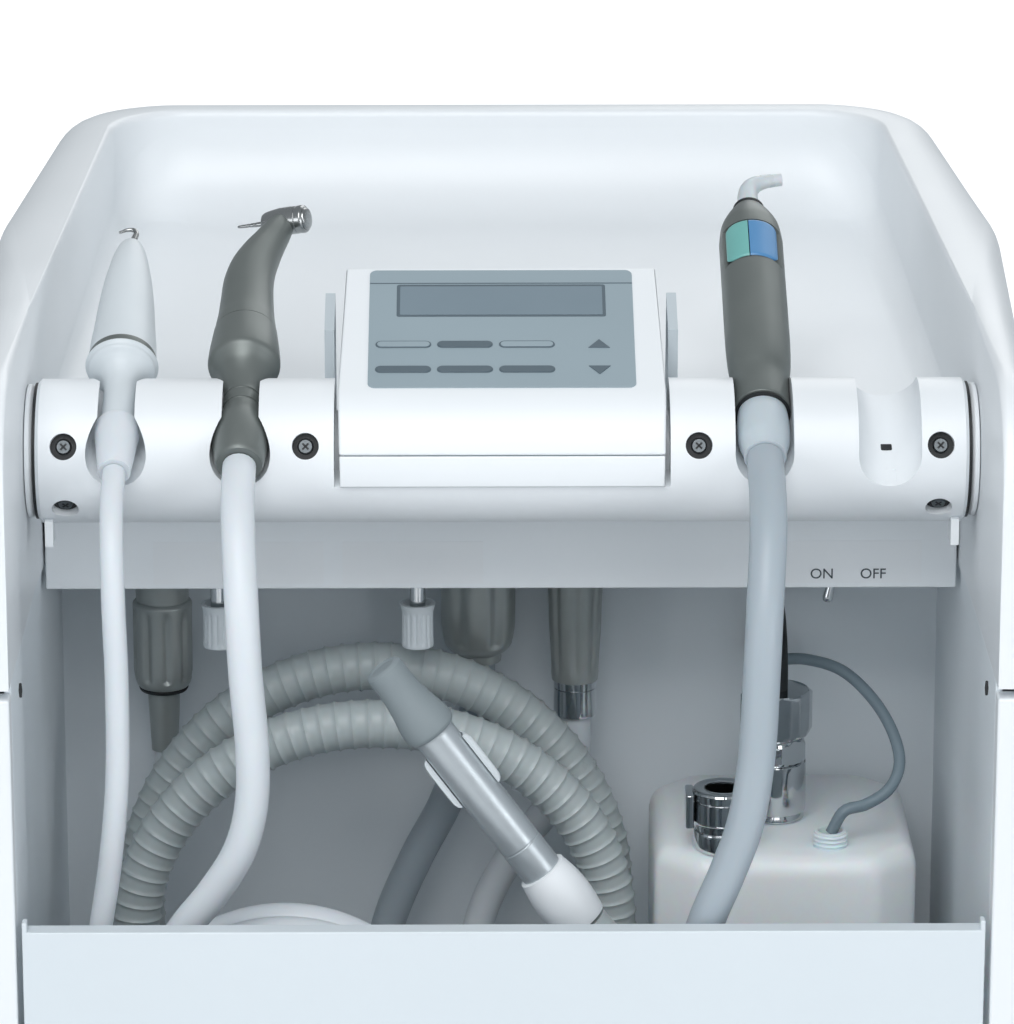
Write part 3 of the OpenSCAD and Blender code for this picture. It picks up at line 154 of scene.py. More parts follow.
MATERIALS = {
    # injection-moulded ABS with a fine spark-eroded grain: a soft wide highlight on a cool white
    "moulded_abs": surface("moulded_abs", ("#EAEEF1", "#EEF2F5"), 90, (0.34, 0.42), 30, 0.7, 0.010),
    # powder-coated steel sheet: the slight orange peel of the baked coat, 1.3 mm across. This copy, on the front
    # panel and the rear cover, is painted darker than the apron's and the lining's copies of the same coat: painted
    # shade that tones down the lamps' light on the panel
    "powder_coated_white": surface("powder_coated_white", ("#D6DEE3", "#DAE2E7"), 70, (0.4, 0.5), 25, 1.3, 0.018),
    # the same coat painted lighter for the apron: painted light that makes up for the shade under the holder bar
    "apron_coat_painted_light": surface("apron_coat_painted_light", ("#EEF3F6", "#F1F5F8"), 70, (0.4, 0.5), 25, 1.3, 0.018),
    # the same coat painted lighter for the compartment's lining and bulkhead: painted light that makes up for the
    # shade inside the compartment
    "lining_coat_painted_light": surface("lining_coat_painted_light", ("#E9F0F5", "#EDF3F7"), 80, (0.42, 0.52), 25, 1.3, 0.018),
    "powder_coated_grey": surface("powder_coated_grey", ("#6D747A", "#757C82"), 60, (0.45, 0.55), 20, 1.3, 0.02),
    # polycarbonate keypad film, printed from behind, with a velvet face
    "printed_film": surface("printed_film", ("#92A2AA", "#97A7AF"), 40, (0.42, 0.5), 12, 0.5, 0.006),
    "printed_dark": surface("printed_dark", ("#54636C", "#5A6972"), 20, (0.4, 0.48), 10, 0.5, 0.006),
    # acrylic display window over an unlit liquid crystal cell
    "display_window": surface("display_window", ("#7A8A94", "#81919B"), 25, (0.12, 0.18), 15, 2.0, 0.001),
    # autoclavable PEEK sleeve: white with a fine matt blast
    "blasted_peek": surface("blasted_peek", ("#D3DADE", "#D9E0E4"), 25, (0.38, 0.46), 12, 0.5, 0.008),
    # titanium-coated stainless: grey with a brown cast, bead blasted to a satin
    "satin_titanium": surface("satin_titanium", ("#727876", "#7C8280"), 14, (0.38, 0.46), 7, 0.35, 0.006,
                              {"Metallic": 0.45}),
    # satin-chromed couplings: a paler, cooler grey than the handpieces' coat
    "satin_chrome": surface("satin_chrome", ("#A9AEAC", "#B4B9B7"), 9, (0.3, 0.38), 5, 0.4, 0.006, {"Metallic": 0.5}),
    # drawn aluminium tube, fine-brushed and clear anodised
    "brushed_aluminium": surface("brushed_aluminium", ("#B9C0C4", "#C3CACE"), 8, (0.32, 0.42), 4, 0.35, 0.006,
                                 {"Metallic": 0.6}),
    # zinc plate with a dark passivation: a dull grey mirror
    "passivated_zinc": surface("passivated_zinc", ("#6B7073", "#777C7F"), 4, (0.3, 0.42), 3, 0.5, 0.006,
                               {"Metallic": 0.8}),
    # glass-filled nylon for the console's cradle: dull, with a coarse grain. Its pale grey is partly the nylon's own
    # and partly painted shade, matched to the soft shadow strips beside the console
    "cradle_nylon_shade_grey": surface("cradle_nylon_shade_grey", ("#BFC9CF", "#C7D0D5"), 30, (0.5, 0.6), 15, 0.9, 0.03),
    # polyester label film with a matt overlaminate: a shade paler than the coat under it
    "label_film": surface("label_film", ("#EDF1F4", "#F1F4F6"), 20, (0.32, 0.4), 10, 0.8, 0.004),
    # hard chrome over brass: a mirror that picks up fine wipe marks
    "chrome_plate": surface("chrome_plate", ("#C9CCCE", "#D3D6D8"), 12, (0.05, 0.12), 6, 1.5, 0.002,
                            {"Metallic": 1.0}),
    # turned and polished stainless
    "stainless": surface("stainless", ("#A6A8A8", "#B0B2B2"), 10, (0.2, 0.3), 4, 0.6, 0.004, {"Metallic": 1.0}),
    # extruded silicone hose: smooth, slightly dusty, light passes a little way in
    "white_silicone": surface("white_silicone", ("#D6DCE1", "#DCE2E7"), 35, (0.36, 0.5), 18, 0.8, 0.006,
                              {"Subsurface Weight": 0.12, "Subsurface Scale": 0.003}),
    "grey_silicone": surface("grey_silicone", ("#A3AEB6", "#AAB5BD"), 35, (0.36, 0.5), 18, 0.8, 0.006,
                             {"Subsurface Weight": 0.1, "Subsurface Scale": 0.003}),
    # moulded silicone boot: like the hose, a shade paler
    "boot_silicone": surface("boot_silicone", ("#BCC7CE", "#C3CED4"), 35, (0.36, 0.5), 18, 0.8, 0.006,
                             {"Subsurface Weight": 0.1, "Subsurface Scale": 0.003}),
    # spiral-ribbed PVC suction hose: greenish grey with a waxy shine
    "ribbed_pvc": surface("ribbed_pvc", ("#AFB8B9", "#B8C1C2"), 30, (0.27, 0.4), 14, 0.9, 0.008,
                          {"Subsurface Weight": 0.08, "Subsurface Scale": 0.002}),
    "cable_jacket": surface("cable_jacket", ("#76868F", "#7E8E97"), 20, (0.4, 0.5), 10, 0.5, 0.006),
    # moulded rubber with a fine bloom
    "grey_rubber": surface("grey_rubber", ("#7F898D", "#889296"), 12, (0.55, 0.68), 6, 0.6, 0.015),
    # the black of the moulded rubber parts, also used for flat black pieces that are painted shade in gaps, wells,
    # recesses and slots
    "black_rubber_and_shade": surface("black_rubber_and_shade", ("#191B1D", "#212426"), 15, (0.45, 0.6), 8, 0.6, 0.012),
    "tyre_rubber": surface("tyre_rubber", ("#565B5F", "#5E6468"), 18, (0.6, 0.75), 9, 0.8, 0.03),
    # blow-moulded polyethylene: milky, waxy, with light that goes deep
    "milky_polythene": surface("milky_polythene", ("#EBF1F4", "#F0F4F6"), 40, (0.3, 0.42), 20, 2.5, 0.02,
                               {"Subsurface Weight": 0.4, "Subsurface Scale": 0.008}),
    "milky_tip": surface("milky_tip", ("#C6CFD3", "#D0D8DC"), 15, (0.25, 0.35), 10, 1.0, 0.004,
                         {"Subsurface Weight": 0.4, "Subsurface Scale": 0.003}),
    # anodised aluminium buttons in the usual colours for water and air
    "aqua_button": surface("aqua_button", ("#6FB1AC", "#78B8B3"), 8, (0.3, 0.38), 5, 0.4, 0.005),
    "blue_button": surface("blue_button", ("#4F88BA", "#588FBF"), 8, (0.3, 0.38), 5, 0.4, 0.005),
    # sand-cast iron under grey paint, bare cast alloy, and a solder-masked board
    "painted_casting": surface("painted_casting", ("#4A4D50", "#55585B"), 25, (0.45, 0.6), 12, 1.6, 0.08),
    "cast_alloy": surface("cast_alloy", ("#8F9193", "#9A9C9E"), 20, (0.4, 0.55), 10, 1.2, 0.06, {"Metallic": 0.9}),
    "solder_mask": surface("solder_mask", ("#1F5A3C", "#276645"), 15, (0.3, 0.4), 8, 1.0, 0.01),
    "printed_ink": surface("printed_ink", ("#3E474D", "#454E54"), 10, (0.5, 0.6), 5, 0.4, 0.004),
}

# ---------------------------------------------------------------- curves and meshes


def through(points, steps=8):
    """A Catmull-Rom curve through points: a cubic per span, whose slope at a point is half the step between that
    point's neighbours. A point given twice stays a sharp corner."""
    p = np.asarray(points, float)
    breaks = [0] + [i for i in range(1, len(p)) if np.allclose(p[i], p[i - 1])] + [len(p)]
    t = np.linspace(0, 1, steps, endpoint=False)[:, None, None]
    curve = []
    for first, last in zip(breaks[:-1], breaks[1:]):
        q = p[first:last]
        if len(q) > 1:
            q = np.vstack([2*q[0] - q[1], q, 2*q[-1] - q[-2]])
            a, b, c, d = q[:-3], q[1:-2], q[2:-1], q[3:]
            spans = 0.5*(2*b + (c - a)*t + (2*a - 5*b + 4*c - d)*t**2 + (3*b - a - 3*c + d)*t**3)
            q = np.vstack([spans.transpose(1, 0, 2).reshape(-1, p.shape[1]), q[-2]])
        curve.append(q)
    return np.vstack(curve)


def even(points, spacing):
    """The same line with its points a constant length apart, by interpolation over the summed lengths."""
    run = np.concatenate([[0], np.cumsum(np.linalg.norm(np.diff(points, axis=0), axis=1))])
    at = np.linspace(0, run[-1], max(2, int(round(run[-1]/spacing))) + 1)
    return np.stack([np.interp(at, run, points[:, i]) for i in range(points.shape[1])], 1), run[-1]


def rings(path, radii, sides):
    """Circles of the given radii square to a path: each circle's frame is the last one's, turned by the smallest
    angle that squares it to the path's slope there."""
    slope = np.gradient(path, axis=0)
    slope /= np.linalg.norm(slope, axis=1)[:, None]
    across = np.empty_like(path)
    side = np.cross(slope[0], [1.0, 0, 0] if abs(slope[0, 0]) < 0.9 else [0, 1.0, 0])
    for i, s in enumerate(slope):
        side = side - (side @ s)*s
        side /= np.linalg.norm(side)
        across[i] = side
    up = np.cross(slope, across)
    angle = np.linspace(0, 2*np.pi, sides, endpoint=False)[None, :, None]
    radii = np.broadcast_to(np.asarray(radii, float), (len(path),))[:, None, None]
    return path[:, None] + radii*(np.cos(angle)*across[:, None] + np.sin(angle)*up[:, None])


def quads(rows, columns, closed=True, offset=0):
    """The faces of a grid of points numbered row by row; closed joins the last column to the first."""
    i, j = np.meshgrid(np.arange(rows - 1), np.arange(columns if closed else columns - 1), indexing="ij")
    k = (j + 1) % columns
    return (np.stack([i*columns + j, i*columns + k, (i + 1)*columns + k, (i + 1)*columns + j], -1).reshape(-1, 4)
            + offset).tolist()


def make(name, points, faces, finish, body, replaces=(), sharp=35, bevel=0.0, closed=True):
    """A piece from points in millimetres and faces: doubles merged, normals turned outwards, edges sharper than the
    given angle kept sharp, and the rest shaded smooth."""
    mesh = bpy.data.meshes.new(name)
    mesh.from_pydata((np.asarray(points, float).reshape(-1, 3)*0.001).tolist(), [], faces)
    bm = bmesh.new()
    bm.from_mesh(mesh)
    bmesh.ops.remove_doubles(bm, verts=bm.verts, dist=2e-6)
    if closed:
        bmesh.ops.recalc_face_normals(bm, faces=bm.faces)
    bm.to_mesh(mesh)
    bm.free()
    return settle(name, mesh, finish, body, replaces, sharp, bevel)


def settle(name, mesh, finish, body, replaces, sharp, bevel):
    """Shades a mesh, gives it its material and edges, links it, and lets it ride on its body."""
    mesh.shade_smooth()
    mesh.set_sharp_from_angle(angle=np.radians(sharp))
    mesh.materials.append(MATERIALS[finish])
    piece = bpy.data.objects.new(name, mesh)
    bpy.context.scene.collection.objects.link(piece)
    if bevel:
        edge = piece.modifiers.new("eased_edges", "BEVEL")
        edge.width = bevel*0.001
        edge.segments = 3
        edge.limit_method = "ANGLE"
        edge.angle_limit = np.radians(40)
        edge.harden_normals = True
    if body:
        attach(piece, body)
    if replaces:
        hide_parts(*replaces)
    return piece


def sweep(name, path, radii, sides, finish, body, replaces=(), sharp=35):
    """A round bar along a path, closed at both ends."""
    grid = rings(path, radii, sides)
    n = len(path)
    caps = [list(range(sides)), list(range((n - 1)*sides, n*sides))]
    return make(name, grid, quads(n, sides) + caps, finish, body, replaces, sharp)


def turn(name, profile, seat, finish, body, replaces=(), sides=64, steps=6, flutes=None, sharp=32):
    """A surface of revolution about a seat's third axis. The profile is a curve through [radius, height] pairs. With
    flutes = (number, depth, low, high), the radius dips by depth times the fourth power of a cosine that has that
    number of waves round the axis, between the two heights."""
    curve = through(profile, steps)
    angle = np.linspace(0, 2*np.pi, sides, endpoint=False)
    radius = np.repeat(np.maximum(curve[:, :1], 0), sides, 1)
    if flutes:
        number, depth, low, high = flutes
        wave = np.abs(np.cos(angle*number/2))**6
        inside = np.clip((curve[:, 1] - low)/1.5, 0, 1)*np.clip((high - curve[:, 1])/1.5, 0, 1)
        radius = radius - depth*wave[None]*inside[:, None]
    local = np.stack([radius*np.cos(angle), radius*np.sin(angle), np.repeat(curve[:, 1:], sides, 1)], -1)
    n = len(curve)
    caps = [c for c, r in ((list(range(sides)), curve[0, 0]), (list(range((n - 1)*sides, n*sides)), curve[-1, 0]))
            if r > 1e-3]
    return make(name, placed(local, seat), quads(n, sides) + caps, finish, body, replaces, sharp)


def placed(points, seat):
    """Points of a seat's own frame, (origin, x, y, z axes), in the unit's frame."""
    origin, axes = seat
    return np.asarray(points, float) @ np.asarray(axes, float) + origin


def finished(node, finish, bevel=0.0, sharp=30):
    """A copy of a CAD node with its loose triangles joined and its flat faces merged, shaded smooth, its edges eased
    by a bevel."""
    mesh = NODES[node].data.copy()
    mesh.materials.clear()
    for extra in ("custom_normal", "sharp_face", "sharp_edge"):
        if extra in mesh.attributes:
            mesh.attributes.remove(mesh.attributes[extra])
    bm = bmesh.new()
    bm.from_mesh(mesh)
    bmesh.ops.remove_doubles(bm, verts=bm.verts, dist=2e-6)
    bmesh.ops.dissolve_limit(bm, angle_limit=np.radians(0.4), verts=bm.verts, edges=bm.edges)
    bm.to_mesh(mesh)
    bm.free()
    return settle(node + "_finished", mesh, finish, BODY_OF[node], [node], sharp, bevel)


def prism(name, outline, low, high, finish, body, bevel=0.3, sharp=35, place=None):
    """A plate: an outline of [x, y] points carried from one height to another, its edges eased."""
    outline = np.asarray(outline, float)
    n = len(outline)
    points = np.vstack([np.column_stack([outline, np.full(n, low)]), np.column_stack([outline, np.full(n, high)])])
    if place:
        points = placed(points, place)
    return make(name, points, quads(2, n) + [list(range(n)), list(range(n, 2*n))], finish, body, (), sharp,
                bevel)


def capsule(length, height, n=10):
    """The outline of a slot: two half circles joined by straight sides."""
    a = np.linspace(-np.pi/2, np.pi/2, n)
    right = np.column_stack([length/2 - height/2 + height/2*np.cos(a), height/2*np.sin(a)])
    return np.vstack([right, -right])


def arc_corner(a, b, c, r, n):
    """The arc of radius r that rounds the corner b between a and c, as n + 1 points: its middle lies on the line that
    halves the corner, r divided by the sine of half the corner's angle from b."""
    a, b, c = (np.asarray(v, float) for v in (a, b, c))
    u, v = (a - b)/np.linalg.norm(a - b), (c - b)/np.linalg.norm(c - b)
    half = np.arccos(np.clip(u @ v, -1, 1))/2
    middle = b + (u + v)/np.linalg.norm(u + v)*r/np.sin(half)
    p, q = b + u*r/np.tan(half) - middle, b + v*r/np.tan(half) - middle
    w, t = np.pi - 2*half, np.linspace(0, 1, n + 1)[:, None]
    return middle + (p*np.sin(w*(1 - t)) + q*np.sin(w*t))/np.sin(w)


def rounded_box(w, h, r, n=6):
    """A rectangle's outline with rounded corners, about its middle."""
    corners = [(w/2, -h/2), (w/2, h/2), (-w/2, h/2), (-w/2, -h/2)]
    return np.vstack([arc_corner(corners[i - 1], corners[i], corners[(i + 1) % 4], r, n) for i in range(4)])


# ---------------------------------------------------------------- where things sit

TILT = np.radians(24)
SLOT_FRONT, HP_RISE = 21.0, 14.0
SLOT_Z = HP_RISE - SLOT_FRONT*np.tan(TILT)
ALONG = np.array([0, np.cos(TILT), np.sin(TILT)])
BELOW = np.array([0, np.sin(TILT), -np.cos(TILT)])
SCALER_X, MOTOR_X, SYRINGE_X = -114.5, -77.7, 77.8


def seat_on_bar(x):
    """The frame of an instrument: its third axis runs up the instrument from the bar's front, and minus its second
    axis is its upper side."""
    return BAR + [x, -SLOT_FRONT, SLOT_Z], np.array([[1, 0, 0], BELOW, ALONG])


def upright(x, y, z):
    """A frame with its axes along the unit's own, at a point given from the bar's axis."""
    return BAR + [x, y, z], np.eye(3)


SUCTION_LEAN = np.radians(36.5)
SUCTION_DOWN = np.array([np.sin(SUCTION_LEAN), 0, -np.cos(SUCTION_LEAN)])
SUCTION = (BAR + [-35.8, -45, -53.7],
           np.array([[-np.cos(SUCTION_LEAN), 0, -np.sin(SUCTION_LEAN)], [0, 1, 0], SUCTION_DOWN]))

# ---------------------------------------------------------------- hoses and cable, first of all pieces


def on_axis(x, s):
    """The point s up an instrument's axis, from the bar's axis."""
    return [x, -SLOT_FRONT + s*np.cos(TILT), SLOT_Z + s*np.sin(TILT)]


def wind(middle, radius, first, last, near, far):
    """Turns of a coil seen from the front: a circle from the first angle to the last, that moves back evenly."""
    n = int(round(abs(last - first)/15))
    t = np.linspace(0, 1, n + 1)
    a = np.radians(first + (last - first)*t)
    return np.column_stack([middle[0] + radius*np.cos(a), near + (far - near)*t, middle[1] + radius*np.sin(a)])


HOSES = {
    "scaler_hose": dict(x=SCALER_X, out=-8, d=7.0, body="scaler", finish="white_silicone", front=[
        [-114.5, -42, -5], [-114, -53, -15], [-113.5, -58, -32], [-113, -58, -55], [-113.6, -57, -85],
        [-116.4, -55, -112], [-120, -56, -135], [-121.5, -58, -155]],
        coil=((-91, -178), 30, 180, 180 + 3*360, -60, -76), back=[
        [-122, -76, -198], [-124, -74, -220], [-127, -66, -243], [-129, -48, -258], [-130, -25, -263.5],
        [-130, 5, -263.5], [-130, 35, -263.5], [-129, 60, -260], [-126, 80, -246], [-121, 88, -222],
        [-115, 89, -190], [-109.5, 88, -160], [-108, 88, -140], [-108, 88, -125]]),
    "motor_hose": dict(x=MOTOR_X, out=-5, d=10.0, body="motor_handpiece", finish="white_silicone", front=[
        [-77.7, -40, -4], [-77, -53, -14], [-76, -62, -30], [-75, -65, -50], [-73.5, -63, -72],
        [-74, -60, -91], [-78, -57, -107], [-86, -54, -121], [-95.5, -51.5, -134], [-102.5, -50, -148]],
        coil=((-65, -185), 46, 155, 155 + 2*360 + 115, -50, -23.5), back=[
        [-45, -20, -231], [-24, -8, -231], [-12, 14, -231], [-10, 38, -230], [-10, 60, -224], [-10, 79, -206],
        [-6, 88, -182], [5, 89, -160], [16, 88, -145], [24, 88, -127], [24, 88, -113]]),
    "syringe_hose": dict(x=SYRINGE_X, out=-1.5, d=11.0, body="syringe", finish="grey_silicone", front=[
        [77.8, -40, -4], [77.2, -54, -13], [76, -64, -28], [75, -69, -48], [73.8, -71, -72],
        [70.8, -73, -92], [65.5, -73.2, -108], [59.3, -72.8, -124], [54.5, -74.5, -142], [52.8, -77, -165]],
        coil=((2, -192), 52, 0, -2*360 - 90, -79, -52.5), back=[
        [-18, -49, -244], [-34, -38, -244], [-41, -20, -244], [-42, 5, -244], [-43, 30, -244],
        [-43, 50, -241], [-42, 72, -228], [-40, 85, -206], [-36, 88, -184], [-27, 88, -162],
        [-17, 88, -142], [-8, 88, -114], [-7, 88, -95]]),
}
for name, h in HOSES.items():
    line = np.vstack([[on_axis(h["x"], h["out"] - 0.4)], h["front"], wind(*h["coil"]), h["back"]])
    path, length = even(through(line, 10), 3.0)
    path = path + BAR
    hose = sweep(name + "_run", path, h["d"]/2, 20, h["finish"], None, [name])
    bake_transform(hose)

cable_line = [[86, 96, -96], [88, 84, -94], [97, 75, -91], [108, 67, -92], [117, 58, -98], [123, 49, -106],
              [125, 41, -114], [121.5, 35, -120.5], [114, 31.5, -124.5], [107, 29.5, -126], [103, 29, -133]]
cable_path, cable_length = even(through(cable_line, 10), 1.5)
cable_path = cable_path + BAR
cable = sweep("sensor_cable_run", cable_path, 1.85, 16, "cable_jacket", "cabinet", ["sensor_cable"])

SUCTION_D, SUCTION_BORE, RIB_PITCH, RIB_H = 16.0, 10.0, 4.8, 0.55
LOOP = dict(x=-40, rx=75, z=-167, up=(68, 78), down=268 - 167 - 8.3, port=(36, 66))


def suction_line():
    """The suction hose's middle line: out of the handpiece, then two standing turns, clockwise from the front, whose
    width is a cosine, whose height is a sine with its own size above and below, and whose depth runs through set
    places, and last straight down into the floor's cuff."""
    a = np.arange(-15, -721, -15.0)
    turns = np.radians(a)
    up = np.where(a > -360, *LOOP["up"])
    size = np.where(np.sin(turns) > 0, up, LOOP["down"])
    t = np.clip((-15 - a)/165, 0, 1)
    places = [[180, 34], [270, 36], [360, 42], [450, 50], [540, 60], [630, 63], [720, 66]]
    y = np.where(a > -180, -35 + 69*t*t*(3 - 2*t), np.interp(-a, *np.transpose(places)))
    loops = np.column_stack([LOOP["x"] + LOOP["rx"]*np.cos(turns), y, LOOP["z"] + size*np.sin(turns)])
    first = SUCTION[0] - BAR
    port = LOOP["port"]
    return np.vstack([[first + 100.7*SUCTION_DOWN], [[33.2, -44.6, -147], [38, -40.5, -164]], loops,
                      [[port[0] - 0.5, port[1], -190], [port[0], port[1], -212], [port[0], port[1], -232],
                       [port[0], port[1], -248]]])


suction_path, suction_length = even(through(suction_line(), 10), RIB_PITCH/8)
suction_path = suction_path + BAR
along_hose = np.linspace(0, suction_length, len(suction_path))
# thin ridges on a smooth wall: each ridge is a bell curve 1.1 mm wide
ridge = np.exp(-(((along_hose/RIB_PITCH) % 1 - 0.5)*RIB_PITCH/0.55)**2)
plain = np.clip(np.minimum(along_hose, suction_length - along_hose)/6 - 1, 0, 1)
outer = rings(suction_path, SUCTION_D/2 - RIB_H*(1 - ridge*plain), 20)
bore_path = suction_path[::6]
inner = rings(bore_path, SUCTION_BORE/2, 20)
count, low = len(suction_path)*20, len(bore_path)
j = np.arange(20)
k = (j + 1) % 20
last, bore_last = count - 20, count + (low - 1)*20
suction_faces = (quads(len(suction_path), 20) + np.array(quads(low, 20, offset=count))[:, ::-1].tolist()
                 + np.stack([j, count + j, count + k, k], 1).tolist()
                 + np.stack([last + k, bore_last + k, bore_last + j, last + j], 1).tolist())
suction_hose = make("suction_hose_run", np.vstack([outer.reshape(-1, 3), inner.reshape(-1, 3)]), suction_faces,
                    "ribbed_pvc", None, ["suction_hose"], sharp=60)
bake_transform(suction_hose)

# ---------------------------------------------------------------- upper shell with its tray

RIM_Z, SHELL_BOTTOM, Y_FRONT, Y_BACK = 620.0, 533.0, -195.0, 195.0
FRONT_ROUND, SHOULDER_H, RIM_EDGE = 34.0, 30.0, 2.5
FRONT_STEPS = np.array([0, 0.5, 1.5, 3, 5, 8, 12, 17, 23, 29, 34.0])


def half_outline(front, bend, back, bend_r, corner_r, steps, n=16):
    """The left half of an outline: points up the front edge, the wide bend of the side, and the back corner."""
    start = arc_corner(front, bend, back, bend_r, n)
    edge = np.asarray(front) + np.outer((steps + Y_FRONT - front[1])/(start[0, 1] - front[1]),
                                        start[0] - np.asarray(front))
    return np.vstack([edge, start, arc_corner(bend, back, (0, back[1]), corner_r, n + 8)])


def both_halves(left):
    """A left half of an outline with its mirror image, joined at the back."""
    return np.vstack([left, left[::-1]*[-1, 1]])


OUTER_LOW = both_halves(half_outline((-153, Y_FRONT), (-169, 70), (-161, Y_BACK), 300, 58, FRONT_STEPS))
OUTER = both_halves(half_outline((-153, Y_FRONT), (-166, 70), (-154, Y_BACK + 5), 300, 36, FRONT_STEPS))
INNER = both_halves(half_outline((-142, Y_FRONT), (-142, -93), (-131, 171), 200, 26, FRONT_STEPS))
RISE = 3.4


def risen(points):
    """Points of the shell, lifted by an amount that grows evenly from nothing at the bar to RISE at the back, and
    from nothing at the shell's lower edge to all of it at the rim."""
    back = np.clip((points[..., 1] - BAR[1])/(Y_BACK - BAR[1]), 0, 1)
    high = np.clip((points[..., 2] - SHELL_BOTTOM)/(RIM_Z - SHELL_BOTTOM), 0, 1)
    return np.concatenate([points[..., :2], (points[..., 2] + RISE*back*high)[..., None]], -1)


def shell_walls():
    """Between the inner and the outer outline: up the outside, over a quarter ellipse, along the rim, round a small
    inner edge and down. The outer outline changes evenly from the cabinet's to the rim's over the first 60 mm up, and
    the rim's height falls along a quarter circle towards the front."""
    width = np.linalg.norm(OUTER - INNER, axis=1)[:, None]
    t = np.clip(OUTER[:, 1:] - Y_FRONT, 0, FRONT_ROUND)
    top = RIM_Z - FRONT_ROUND + np.sqrt(FRONT_ROUND**2 - (FRONT_ROUND - t)**2)
    q = np.radians(np.linspace(0, 90, 13))[None]
    inner_q = np.radians(np.linspace(90, 180, 7))[None]
    out = np.hstack([width, 0.25*width + 0.75*width*np.cos(q), RIM_EDGE + RIM_EDGE*np.cos(inner_q) + 0*width,
                     0*width])
    fall = 1 - np.clip((RIM_Z - top)/FRONT_ROUND, 0, 1)*0.3
    up = np.hstack([SHELL_BOTTOM + 0*width, top - SHOULDER_H*fall*(1 - np.sin(q)),
                    top - RIM_EDGE*(1 - np.sin(inner_q)), SHELL_BOTTOM + 0*width])
    change = np.clip((up - SHELL_BOTTOM)/60, 0, 1)[..., None]
    outside = OUTER_LOW[:, None] + change*(OUTER - OUTER_LOW)[:, None]
    points = np.concatenate([INNER[:, None] + (outside - INNER[:, None])*(out/width)[..., None], up[..., None]], -1)
    n, m = points.shape[:2]
    return risen(points), quads(n, m) + [list(range(m)), list(range((n - 1)*m, n*m))]


walls, wall_faces = shell_walls()
make("upper_shell_walls", walls, wall_faces, "moulded_abs", "cabinet", ["upper_shell"], sharp=50)

LIP_Y, TRAY_BACK = 24.6, 279.0
FLOOR_SLOPE = 20/(TRAY_BACK - LIP_Y)


def tray_basin():
    """The tray inside the walls: its floor rises evenly to the back, and a quarter-circle cove joins it to the
    walls, 26 mm in radius at the back and 9 mm at the sides. Below it lies a flat underside."""
    start = np.array([[-142.0, BAR[1] + LIP_Y]])
    line = np.vstack([start, INNER[INNER[:, 1] > BAR[1] + LIP_Y + 2], start*[-1, 1]])
    step = np.gradient(line, axis=0)
    inward = np.column_stack([step[:, 1], -step[:, 0]])
    inward /= np.linalg.norm(inward, axis=1)[:, None]
    radius = 9 + 17*np.clip(np.abs(inward[:, 1]), 0, 1)**1.5
    q = np.linspace(0, np.pi/2, 9)[None]
    reach = radius[:, None]*(1 - np.sin(q))
    xy = line[:, None] + inward[:, None]*reach[..., None]
    floor = -12 + FLOOR_SLOPE*(xy[..., 1] - BAR[1] - LIP_Y)
    z = BAR[2] + floor + radius[:, None]*(1 - np.cos(q))
    skirt = line - inward*0.6
    points = np.concatenate([np.concatenate([xy, z[..., None]], -1),
                             np.column_stack([skirt, z[:, -1]])[:, None],
                             np.column_stack([skirt, np.full(len(line), BAR[2] - 16)])[:, None]], 1)
    n, m = points.shape[:2]
    floor_face = [i*m for i in range(n)]
    under_face = [i*m + m - 1 for i in range(n)][::-1]
    front_face = list(range(m)) + list(range((n - 1)*m, n*m))[::-1]
    return risen(points), quads(n, m, closed=False) + [floor_face, under_face, front_face]


basin, basin_faces = tray_basin()
make("upper_shell_tray", basin, basin_faces, "moulded_abs", "cabinet", sharp=40)

# ---------------------------------------------------------------- cabinet parts from the CAD

for node, finish, bevel in (
        ("lower_cabinet", "moulded_abs", 0.8), ("front_panel", "powder_coated_white", 0.5),
        ("apron", "apron_coat_painted_light", 0.5), ("compartment_liner", "lining_coat_painted_light", 0.4),
        ("bulkhead", "lining_coat_painted_light", 0.3), ("base_plate", "powder_coated_grey", 0.8),
        ("rear_cover", "powder_coated_white", 0.4),
        ("end_discs", "moulded_abs", 0.3), ("holder_screws", "passivated_zinc", 0.0),
        ("console_cradle", "cradle_nylon_shade_grey", 0.4), ("valve_bodies", "chrome_plate", 0.2),
        ("control_board", "solder_mask", 0.2), ("compressor", "painted_casting", 1.0),
        ("vacuum_pump", "cast_alloy", 0.0), ("waste_tank", "milky_polythene", 2.0),
        ("mains_inlet", "black_rubber_and_shade", 0.3), ("power_rocker", "black_rubber_and_shade", 0.3),
        ("castor_fork_fl", "stainless", 0.3), ("castor_fork_fr", "stainless", 0.3),
        ("castor_fork_bl", "stainless", 0.3), ("castor_fork_br", "stainless", 0.3)):
    finished(node, finish, bevel)

# ---------------------------------------------------------------- holder bar


def lobed_bar():
    """The bar's solid with its lobes rounded beside the slots. An edge on the bar's outside and within 11 mm of a
    slot's middle is rounded by up to 2.6 mm, as far as its neighbours leave room, and other edges by 0.5 mm."""
    bar = finished("holder_bar", "moulded_abs", 0.5)
    bm = bmesh.new()
    bm.from_mesh(bar.data)
    weight = bm.edges.layers.float.new("bevel_weight_edge")
    for edge in bm.edges:
        middle = (edge.verts[0].co + edge.verts[1].co)*500 - Vector(BAR)
        near_slot = min(abs(middle.x - x) for x in SLOT_MIDDLES) < 11
        outside = min(np.hypot(*(v.co*1000 - Vector(BAR))[1:]) for v in edge.verts) > BAR_R - 0.2
        if near_slot and outside and len(edge.link_faces) == 2 and edge.calc_face_angle(0) > np.radians(35):
            edge[weight] = 1.0
    bm.to_mesh(bar.data)
    bm.free()
    lobes = bar.modifiers.new("rounded_lobes", "BEVEL")
    lobes.width = 0.0026
    lobes.segments = 5
    lobes.limit_method = "WEIGHT"
    lobes.harden_normals = True
    bar.modifiers.move(1, 0)


